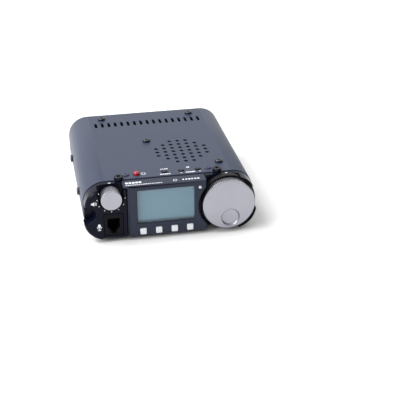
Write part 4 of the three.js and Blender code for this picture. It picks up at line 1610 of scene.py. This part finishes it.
@dataclass
class TopKeys:
    """The red power button and the three black keys."""

    def build(self) -> None:
        """Makes and dresses the keys."""
        self._key("power_button", 2.1, 1.15, POWER_RED)
        for name in ("mode_key", "band_down_key", "band_up_key"):
            self._key(name, 1.8, 0.22, KEY_BLACK)
        carry_over(BOARD, "key_board", "function_keypad", "main_board")

    def _key(self, name: str, radius: float, dome: float, finish: Finish) -> None:
        """Makes one key: a collar below the cover and a domed cap above it."""
        low, high = span(name)
        at = middle(name)
        collar = (high.x - low.x) / 2
        cap = [
            (radius * math.cos(a), high.z - dome + dome * math.sin(a)) for a in quarter_angles(8)[:-1]
        ]
        profile = [
            (0.0, low.z), (collar, low.z), (collar, low.z + 1), (radius, low.z + 1), *cap, (0.0, high.z)
        ]
        key = turned(name + "_cap", profile, Vector((at.x, at.y, 0)), Turn.UP, 40)
        settle(smoothed(key), finish, [name], name)


# ------------------------------------------------------------------ fasteners and feet


class Head(Enum):
    """The kinds of screw head: radius, height, socket radius and socket depth, in millimetres."""

    PAN = (2.8, 1.8, 0.95, 1.0)
    CAP = (3.1, 2.4, 1.45, 1.5)
    FLAT = (2.5, 0.8, 0.8, 0.45)


@dataclass
class Fasteners:
    """Every visible screw, each row of them made as copies of one."""

    recipes: Recipes
    seat: float = 0.1
    shank: float = 1.2

    def build(self) -> None:
        """Makes and dresses the screws."""
        up = Vector((0.0, 0.0, 0.0))
        self._row(
            "cover_screws", Head.PAN,
            [f"cover_screw_{e}" for e in ("rear_left", "rear_right", "middle", "front")], up
        )
        self._row("edge_bolts", Head.CAP, ["edge_bolt_left", "edge_bolt_right"], up, BOLT_BLACK)
        self._row(
            "key_board_screws", Head.FLAT, ["key_board_screw_left", "key_board_screw_right"], up, CASE_PAINT
        )
        for side, sign in (("left", -1), ("right", 1)):
            turn = Vector((0.0, sign * math.pi / 2, 0.0))
            self._row(
                f"side_screws_{side}", Head.PAN, [f"side_screw_{e}_{side}" for e in ("front", "rear")], turn
            )
        rear = [f"rear_screw_{level}_{side}" for level in ("lower", "upper") for side in ("left", "right")]
        self._row("rear_screws", Head.PAN, rear, Vector((-math.pi / 2, 0.0, 0.0)))

    def _row(
        self, name: str, head: Head, nodes: Sequence[str], turn: Vector, finish: Finish = SCREW_BLACK
    ) -> None:
        """Makes the screws that stand for some nodes."""
        outward = Vector((math.sin(turn.y), -math.sin(turn.x), 1.0 if turn.length == 0 else 0.0))
        points = [self._top(node, outward) - outward * head.value[1] for node in nodes]
        length = self._length(nodes[0], outward) - head.value[1]
        piece = scatter(self.recipes, name, self._screw(head, length), points, turn, finish)
        settle(piece, finish, nodes)

    def _top(self, node: str, outward: Vector) -> Vector:
        """Gives the middle of a screw's outer end."""
        low, high = span(node)
        half = Vector([abs(o) * (b - a) / 2 for o, a, b in zip(outward, low, high)])
        return (low + high) / 2 + Vector([math.copysign(h, o) for h, o in zip(half, outward)])

    def _length(self, node: str, outward: Vector) -> float:
        """Gives a screw's whole length."""
        low, high = span(node)
        return abs((high - low).dot(outward))

    def _screw(self, head: Head, length: float) -> bpy.types.Object:
        """Makes one screw, head up, with a six-sided socket."""
        radius, height, socket, depth = head.value
        crown = {Head.PAN: 0.6, Head.CAP: 0.3, Head.FLAT: 0.5}[head]
        dome = [
            (radius - crown + crown * math.cos(a), height - crown + crown * math.sin(a))
            for a in quarter_angles(6)
        ]
        profile = [
            (0.0, -length), (self.shank, -length), (self.shank, self.seat), (radius, self.seat), *dome,
            (0.0, height)
        ]
        screw = turned("screw", profile, Vector(), Turn.UP, 36)
        hexagon = Edge(circle((0.0, 0.0), socket, 6))
        cutter = plate("socket_cutter", hexagon, height + 1, height - depth, view=View.TOP)
        return carved(screw, cutter)


@dataclass
class Feet:
    """Four rubber feet, copies of one with a hollow sole."""

    recipes: Recipes
    radius: float = 5.5
    toe: float = 5.0

    def build(self) -> None:
        """Makes and dresses the feet."""
        nodes = [f"foot_{end}_{side}" for end in ("front", "rear") for side in ("left", "right")]
        low, high = span(nodes[0])
        height = high.z - low.z
        profile = [
            (0.0, 0.7), (1.8, 0.7), (2.1, 0.0), (self.toe - 0.3, 0.0), (self.toe, 0.25),
            (self.radius, height - 0.3), (self.radius - 0.1, height), (0.0, height),
        ]
        foot = turned("foot", profile, Vector(), Turn.UP, 40)
        points = [Vector((middle(n).x, middle(n).y, low.z)) for n in nodes]
        settle(scatter(self.recipes, "rubber_feet", foot, points, Vector(), RUBBER), RUBBER, nodes)


# ------------------------------------------------------------------ rear sockets


@dataclass
class RearSockets:
    """The sockets, the ground post and its nut at the back."""

    recipes: Recipes
    nut_bore: float = 2.15
    nut_ridges: int = 36

    def build(self) -> None:
        """Makes and dresses the rear fittings."""
        self._antenna()
        self._ground()
        self._power()
        self._accessory()
        self._key_jack()

    def _panel(self) -> float:
        """Gives the rear panel's outer face."""
        return span("rear_panel")[1].y

    def _piece(self, name: str, node: str, profile: Sequence[Point], finish: Finish, steps: int = 48) -> None:
        """Makes one turned piece in place of a node."""
        at = middle(node)
        settle(smoothed(turned(name, profile, Vector((at.x, 0, at.z)), steps=steps)), finish, [node])

    def _antenna(self) -> None:
        """Makes the bayonet socket, its studs and its insulator."""
        low, high = span("antenna_socket")
        at = middle("antenna_socket")
        panel, end = self._panel() + 0.1, high.y
        profile = [
            (0.0, low.y), (4.6, low.y), (4.6, panel), (6.7, panel),
            (7.0, panel + 0.3), (7.0, panel + 1.5), (6.7, panel + 1.8), (5.3, panel + 1.8),
            (4.8, panel + 2.3), (4.8, end - 0.4), (4.5, end), (4.2, end), (4.05, end - 0.2),
            (4.05, panel + 3.0), (0.0, panel + 3.0),
        ]
        barrel = turned("antenna_barrel", profile, Vector((at.x, 0, at.z)), steps=64)
        stud = [(0.0, 4.4), (0.95, 4.4), (0.95, 5.35), (0.7, 5.6), (0.0, 5.6)]
        centre = Vector((at.x, end - 4, at.z))
        studs = [turned("stud", stud, centre, turn, 24) for turn in (Turn.LEFT, Turn.RIGHT)]
        settle(smoothed(merged("antenna_bayonet", [barrel, *studs])), NICKEL, ["antenna_socket"])
        low, high = span("antenna_insulator")
        core = [
            (0.0, low.y), (2.5, low.y), (2.5, high.y - 2.1), (2.4, high.y - 2.0), (1.1, high.y - 2.0),
            (1.1, high.y - 0.1), (1.0, high.y), (0.45, high.y), (0.45, high.y - 4.5), (0.0, high.y - 4.5),
        ]
        self._piece("antenna_core", "antenna_insulator", core, FLUOROPOLYMER, 32)

    def _ground(self) -> None:
        """Makes the ground post and its knurled nut."""
        low, high = span("ground_stud")
        inside = self._panel() - 3.1
        post = [
            (0.0, low.y), (3.6, low.y), (3.6, inside), (2.0, inside),
            (2.0, high.y - 0.5), (1.5, high.y), (0.0, high.y),
        ]
        self._piece("ground_post", "ground_stud", post, BRASS, 32)
        low, high = span("ground_nut")
        at = middle("ground_nut")
        axis = Vector((at.x, 0, at.z))
        radius = (high.x - low.x) / 2
        bore = self.nut_bore
        profile = [
            (bore, low.y), (radius - 1.6, low.y), (radius - 1.6, low.y + 0.8), (radius - 0.2, low.y + 0.8),
            (radius, low.y + 1.0), (radius, low.y + 2.2), (radius, high.y - 0.3), (radius - 0.3, high.y),
            (bore + 0.3, high.y), (bore, high.y - 0.3), (bore, low.y),
        ]
        nut = turned("ground_thumb_nut", profile, axis, steps=self.nut_ridges * 6)
        self.recipes.knurl.run(
            nut, NICKEL.material(), Ridges=float(self.nut_ridges), Depth=0.25 * MM, Axis=axis * MM,
            Inner_Radius=(radius - 0.1) * MM, Front=(low.y + 0.9) * MM, Back=(high.y - 0.2) * MM,
        )
        settle(smoothed(nut, 40.0), NICKEL, ["ground_nut"], "ground_nut")

    def _power(self) -> None:
        """Makes the coaxial power jack with its centre pin."""
        low = span("power_jack")[0]
        panel = self._panel() + 0.1
        profile = [
            (0.0, low.y), (4.8, low.y), (4.8, panel), (6.0, panel), (6.2, panel + 0.2),
            (6.2, panel + 1.5), (5.9, panel + 1.8), (3.4, panel + 1.8), (3.1, panel + 1.5),
            (3.1, low.y + 3), (1.05, low.y + 3), (1.05, panel + 0.5), (0.8, panel + 0.8), (0.0, panel + 0.8),
        ]
        self._piece("power_inlet", "power_jack", profile, BLACK_PLASTIC)

    def _accessory(self) -> None:
        """Makes the round accessory socket: a metal shield with a black core and its contact holes."""
        low = span("accessory_socket")[0]
        at = middle("accessory_socket")
        panel = self._panel() + 0.1
        shield = [
            (0.0, low.y), (5.5, low.y), (5.5, panel), (6.3, panel), (6.5, panel + 0.2),
            (6.5, panel + 0.8), (6.3, panel + 1.0), (4.6, panel + 1.0), (4.4, panel + 0.8),
            (4.4, low.y + 4), (0.0, low.y + 4),
        ]
        self._piece("accessory_shield", "accessory_socket", shield, NICKEL)
        disc = Edge(circle((at.x, at.z), 3.1, 40), 0.15)
        contacts = [Edge(circle(p, 0.5, 16)) for p in circle((at.x, at.z), 2.0, 6)]
        core = plate("accessory_core", disc, panel - 0.6, low.y + 4.05, contacts, View.REAR)
        settle(smoothed(core), BLACK_PLASTIC)

    def _key_jack(self) -> None:
        """Makes the small key jack with its ring nut."""
        low = span("key_jack")[0]
        panel = self._panel() + 0.1
        profile = [
            (0.0, low.y), (3.0, low.y), (3.0, panel), (4.0, panel), (4.2, panel + 0.2),
            (4.2, panel + 1.1), (3.9, panel + 1.4), (2.0, panel + 1.4), (1.8, panel + 1.2),
            (1.8, low.y + 2), (0.0, low.y + 2),
        ]
        self._piece("key_inlet", "key_jack", profile, BLACK_PLASTIC, 40)


# ------------------------------------------------------------------ inside


@dataclass
class Innards:
    """The pieces inside, of which only a little shows through the grille and the vents."""

    def build(self) -> None:
        """Dresses the carried-over nodes."""
        carry_over(HEATSINK, "heat_spreader")
        # painted shade: the steel speaker frame is dressed black, so that it reads as dark through the grille
        # as the shaded inside of the case
        carry_over(BLACK_PLASTIC, "speaker_frame")
        carry_over(CONE_PAPER, "speaker_cone")
        carry_over(MAGNET, "speaker_magnet")


# ------------------------------------------------------------------ printed marks


@dataclass
class Markings:
    """The white marks, all plain signs and dashes that spell nothing."""

    recipes: Recipes
    scale_radius: float = 9.6
    scale_dot: float = 0.36
    scale_count: int = 8

    def build(self) -> None:
        """Makes and dresses every mark."""
        self._volume_scale()
        self._panel_signs()
        self._knob_dots()
        self._rows()
        self._key_signs()

    def _on_panel(self, name: str, outline: Sequence[Point]) -> bpy.types.Object:
        """Makes a flat mark on the front panel's face."""
        face = span("front_panel")[0].y
        return plate(name, Edge(outline), face - PRINT_HEIGHT, face - PRINT_GAP)

    def _on_top(self, name: str, outline: Sequence[Point], node: str = "top_cover") -> bpy.types.Object:
        """Makes a flat mark on the top of a node."""
        top = span(node)[1].z
        return plate(name, Edge(outline), top + PRINT_HEIGHT, top + PRINT_GAP, view=View.TOP)

    def _volume_scale(self) -> None:
        """Makes the dots round the volume knob."""
        knob = middle("volume_knob")
        dot = plate("dot", Edge(circle((0.0, 0.0), self.scale_dot, 16)), -PRINT_HEIGHT, -PRINT_GAP)
        face = span("front_panel")[0].y
        ring = arc((knob.x, knob.z), self.scale_radius, 150, 360, self.scale_count - 1)
        points = [Vector((x, face, z)) for x, z in ring]
        settle(scatter(self.recipes, "volume_scale", dot, points, Vector(), PRINT_WHITE), PRINT_WHITE)

    def _panel_signs(self) -> None:
        """Makes the loudspeaker and microphone signs."""
        x, z = -53.0, CASE.bottom + 28.6
        horn = [
            (x - 2.0, z - 0.65), (x - 1.2, z - 0.65), (x + 0.2, z - 1.7), (x + 0.2, z + 1.7),
            (x - 1.2, z + 0.65), (x - 2.0, z + 0.65)
        ]
        waves = [[*arc((x, z), r, -50, 50, 10), *arc((x, z), r - 0.35, 50, -50, 10)] for r in (1.1, 1.8)]
        signs = [self._on_panel("horn", horn), *(self._on_panel("wave", wave) for wave in waves)]
        settle(merged("speaker_sign", signs), PRINT_WHITE)
        x, z = -50.2, CASE.bottom + 10.4
        capsule = rounded_rect((x - 0.95, z - 0.6), (x + 0.95, z + 2.3), 0.94, 6)
        cradle = [*arc((x, z + 0.2), 1.75, 180, 360, 14), *arc((x, z + 0.2), 1.35, 360, 180, 14)]
        stem = rounded_rect((x - 0.25, z - 2.3), (x + 0.25, z - 1.5), 0.05, 2)
        base = rounded_rect((x - 1.1, z - 2.7), (x + 1.1, z - 2.25), 0.1, 2)
        signs = [self._on_panel("mark", outline) for outline in (capsule, cradle, stem, base)]
        settle(merged("microphone_sign", signs), PRINT_WHITE)

    def _knob_dots(self) -> None:
        """Makes a small white dot above each knob, on the panel's upper edge."""
        rear, front = CASE.front - 2.6, CASE.front - 3.5
        dots = []
        for node in ("volume_shaft", "tuning_shaft"):
            x = middle(node).x
            dots.append(
                self._on_top("dot", rounded_rect((x - 0.9, front), (x + 0.9, rear), 0.4, 5), "front_panel")
            )
        settle(merged("index_dots", dots), PRINT_WHITE)

    def _row(
        self, name: str, node: str, start: Point, pitch: float,
        count: int, height: float, widths: Point, seed: int
    ) -> bpy.types.Object:
        """Prints one row of dashes on the top of a node."""
        row = points_object(name, [])
        first = Vector((start[0], CASE.front + start[1], span(node)[1].z + PRINT_HEIGHT / 2))
        self.recipes.dashes.run(
            row, PRINT_WHITE.material(), Start=first * MM, Step=Vector((pitch, 0.0, 0.0)) * MM,
            Count=count, Height=height * MM, Narrow=widths[0] * MM, Wide=widths[1] * MM, Seed=seed,
        )
        return row

    def _rows(self) -> None:
        """Prints the rows of dashes on the pod's roof and along the key row."""
        roof = [
            self._row("roof_bold", "display_bezel", (-29.8, -5.9), 2.3, 5, 2.2, (1.2, 1.9), 3),
            self._row("roof_small_low", "display_bezel", (-30.3, -9.2), 1.5, 17, 1.0, (0.7, 1.2), 5),
            self._row("roof_right", "display_bezel", (9.2, -7.4), 2.1, 6, 1.6, (1.0, 1.6), 8),
            self._on_top(
                "ring",
                [
                    *arc((3.6, CASE.front - 7.4), 1.5, 0, 330, 24),
                    *arc((3.6, CASE.front - 7.4), 1.1, 330, 0, 24)
                ],
                "display_bezel"
            ),
        ]
        settle(merged("roof_dashes", roof), PRINT_WHITE)
        keys = [
            self._row("mode_above", "top_cover", (-3.4, 10.6), 1.4, 4, 1.2, (0.5, 1.1), 11),
            self._row("mode_below", "top_cover", (-4.6, 2.5), 1.5, 5, 1.3, (0.9, 1.4), 12),
            self._row("band_above", "top_cover", (15.2, 10.2), 1.0, 2, 1.5, (0.9, 1.2), 13),
            self._row("band_below", "top_cover", (13.6, 2.5), 1.3, 5, 1.3, (0.8, 1.2), 14),
        ]
        settle(merged("key_dashes", keys), PRINT_WHITE)

    def _key_signs(self) -> None:
        """Prints the arrows beside the band keys and the ring beside the power button."""
        signs = []
        for x, side in ((9.7, -1), (22.9, 1)):
            y = CASE.front + 2.5
            signs.append(
                self._on_top(
                    "arrow", [(x, y - side * 0.6), (x + 0.8, y + side * 0.6), (x - 0.8, y + side * 0.6)]
                )
            )
        centre = (-16.6, CASE.front + 6.2)
        ring = [*arc(centre, 1.7, 130, 410, 28), *arc(centre, 1.25, 410, 130, 28)]
        bar = rounded_rect((centre[0] - 0.22, centre[1] + 0.5), (centre[0] + 0.22, centre[1] + 2.0), 0.1, 2)
        signs += [self._on_top("ring", ring), self._on_top("bar", bar)]
        settle(merged("key_signs", signs), PRINT_WHITE)


# ------------------------------------------------------------------ studio


@dataclass
class Studio:
    """A pale floor, soft light and the camera."""

    aim: Vector = field(default_factory=lambda: Vector((0.03398, 0.0, -0.00999)))
    distance: float = 0.7419
    azimuth: float = -11.44
    elevation: float = 27.56
    lens: float = 86.23
    floor_size: float = 6.0
    bright_side: tuple[float, float, float] = (-0.45, 0.5, 0.6)
    dark: float = 0.06
    bright: float = 1.1
    key_place: tuple[float, float, float] = (-0.72, 0.1, 1.15)
    key_size: float = 0.9
    key_power: float = 19.0
    edge_place: tuple[float, float, float] = (-0.85, -0.5, 0.53)
    edge_size: float = 0.3
    edge_power: float = 3.5

    def build(self) -> None:
        """Makes the stage."""
        self._floor()
        self._world()
        self._lights()
        self._camera()
        bpy.context.scene.view_settings.view_transform = "Standard"

    def _floor(self) -> None:
        """Lays the floor at the feet's soles."""
        half = self.floor_size / 2
        mesh = bmesh.new()
        corners = [(-half, -half), (half, -half), (half, half), (-half, half)]
        mesh.faces.new([mesh.verts.new((x, y, CAD_BOX[0][2])) for x, y in corners])
        floor = new_object("floor", mesh)
        paper = Finish(
            "floor_paper", (0.86, 0.86, 0.86, 1.0), (0.84, 0.84, 0.84, 1.0), 0.7, "", grain_strength=0.0,
            specular=0.2
        )
        floor.data.materials.append(paper.material())

    def _world(self) -> None:
        """Fills the room with soft light that is weak in front and strong behind, at the sides and above."""
        world = bpy.data.worlds.new("room")
        world.use_nodes = True
        graph = Graph(world.node_tree)
        direction = graph.out("ShaderNodeTexCoord", socket="Generated")
        bright = Vector(self.bright_side).normalized()
        facing = graph.out(
            "ShaderNodeVectorMath", {0: direction, 1: bright}, socket="Value", operation="DOT_PRODUCT"
        )
        limits = {
            "Value": facing, "From Min": -0.7, "From Max": 0.55, "To Min": self.dark, "To Max": self.bright
        }
        strength = graph.out("ShaderNodeMapRange", limits, interpolation_type="SMOOTHSTEP")
        background = world.node_tree.nodes["Background"]
        background.inputs["Color"].default_value = (1.0, 1.0, 1.0, 1.0)
        graph.tree.links.new(strength, background.inputs["Strength"])
        bpy.context.scene.world = world

    def _lights(self) -> None:
        """Hangs the soft key light above and to the left, and a small one that lights the panel's edges."""
        self._area("key", Vector(self.key_place), self.key_size, self.key_power)
        self._area("edge", Vector(self.edge_place), self.edge_size, self.edge_power)

    def _area(self, name: str, place: Vector, size: float, power: float) -> None:
        """Hangs one square light that points at the object.

        Args:
            name: The light's name.
            place: Where it hangs.
            size: The length of its side.
            power: Its power in watts.
        """
        light = bpy.data.lights.new(name, "AREA")
        light.energy = power
        light.size = size
        lamp = bpy.data.objects.new(name, light)
        lamp.location = place
        lamp.rotation_euler = (-place).to_track_quat("-Z", "Y").to_euler()
        bpy.context.scene.collection.objects.link(lamp)

    def _camera(self) -> None:
        """Sets the camera up to the front and a little to the left."""
        data = bpy.data.cameras.new("camera")
        data.sensor_width = 36.0
        data.lens = self.lens
        camera = bpy.data.objects.new("camera", data)
        azimuth, elevation = math.radians(self.azimuth), math.radians(self.elevation)
        forward = Vector((
            -math.sin(azimuth) * math.cos(elevation),
            math.cos(azimuth) * math.cos(elevation),
            -math.sin(elevation),
        ))
        camera.rotation_euler = forward.to_track_quat("-Z", "Y").to_euler()
        camera.location = self.aim - forward * self.distance
        bpy.context.scene.collection.objects.link(camera)
        bpy.context.scene.camera = camera


def main() -> None:
    """Builds every sub-assembly in order."""
    logging.basicConfig(level=logging.INFO, format="%(message)s")
    recipes = Recipes()
    assemblies = [
        Studio(),
        CaseShell(recipes),
        FrontPanel(),
        DisplayPod(),
        Dials(recipes),
        MicrophoneSocket(),
        TopKeys(),
        Fasteners(recipes),
        Feet(recipes),
        RearSockets(recipes),
        Innards(),
        Markings(recipes),
    ]
    for assembly in assemblies:
        assembly.build()


if __name__ == "__main__":
    main()
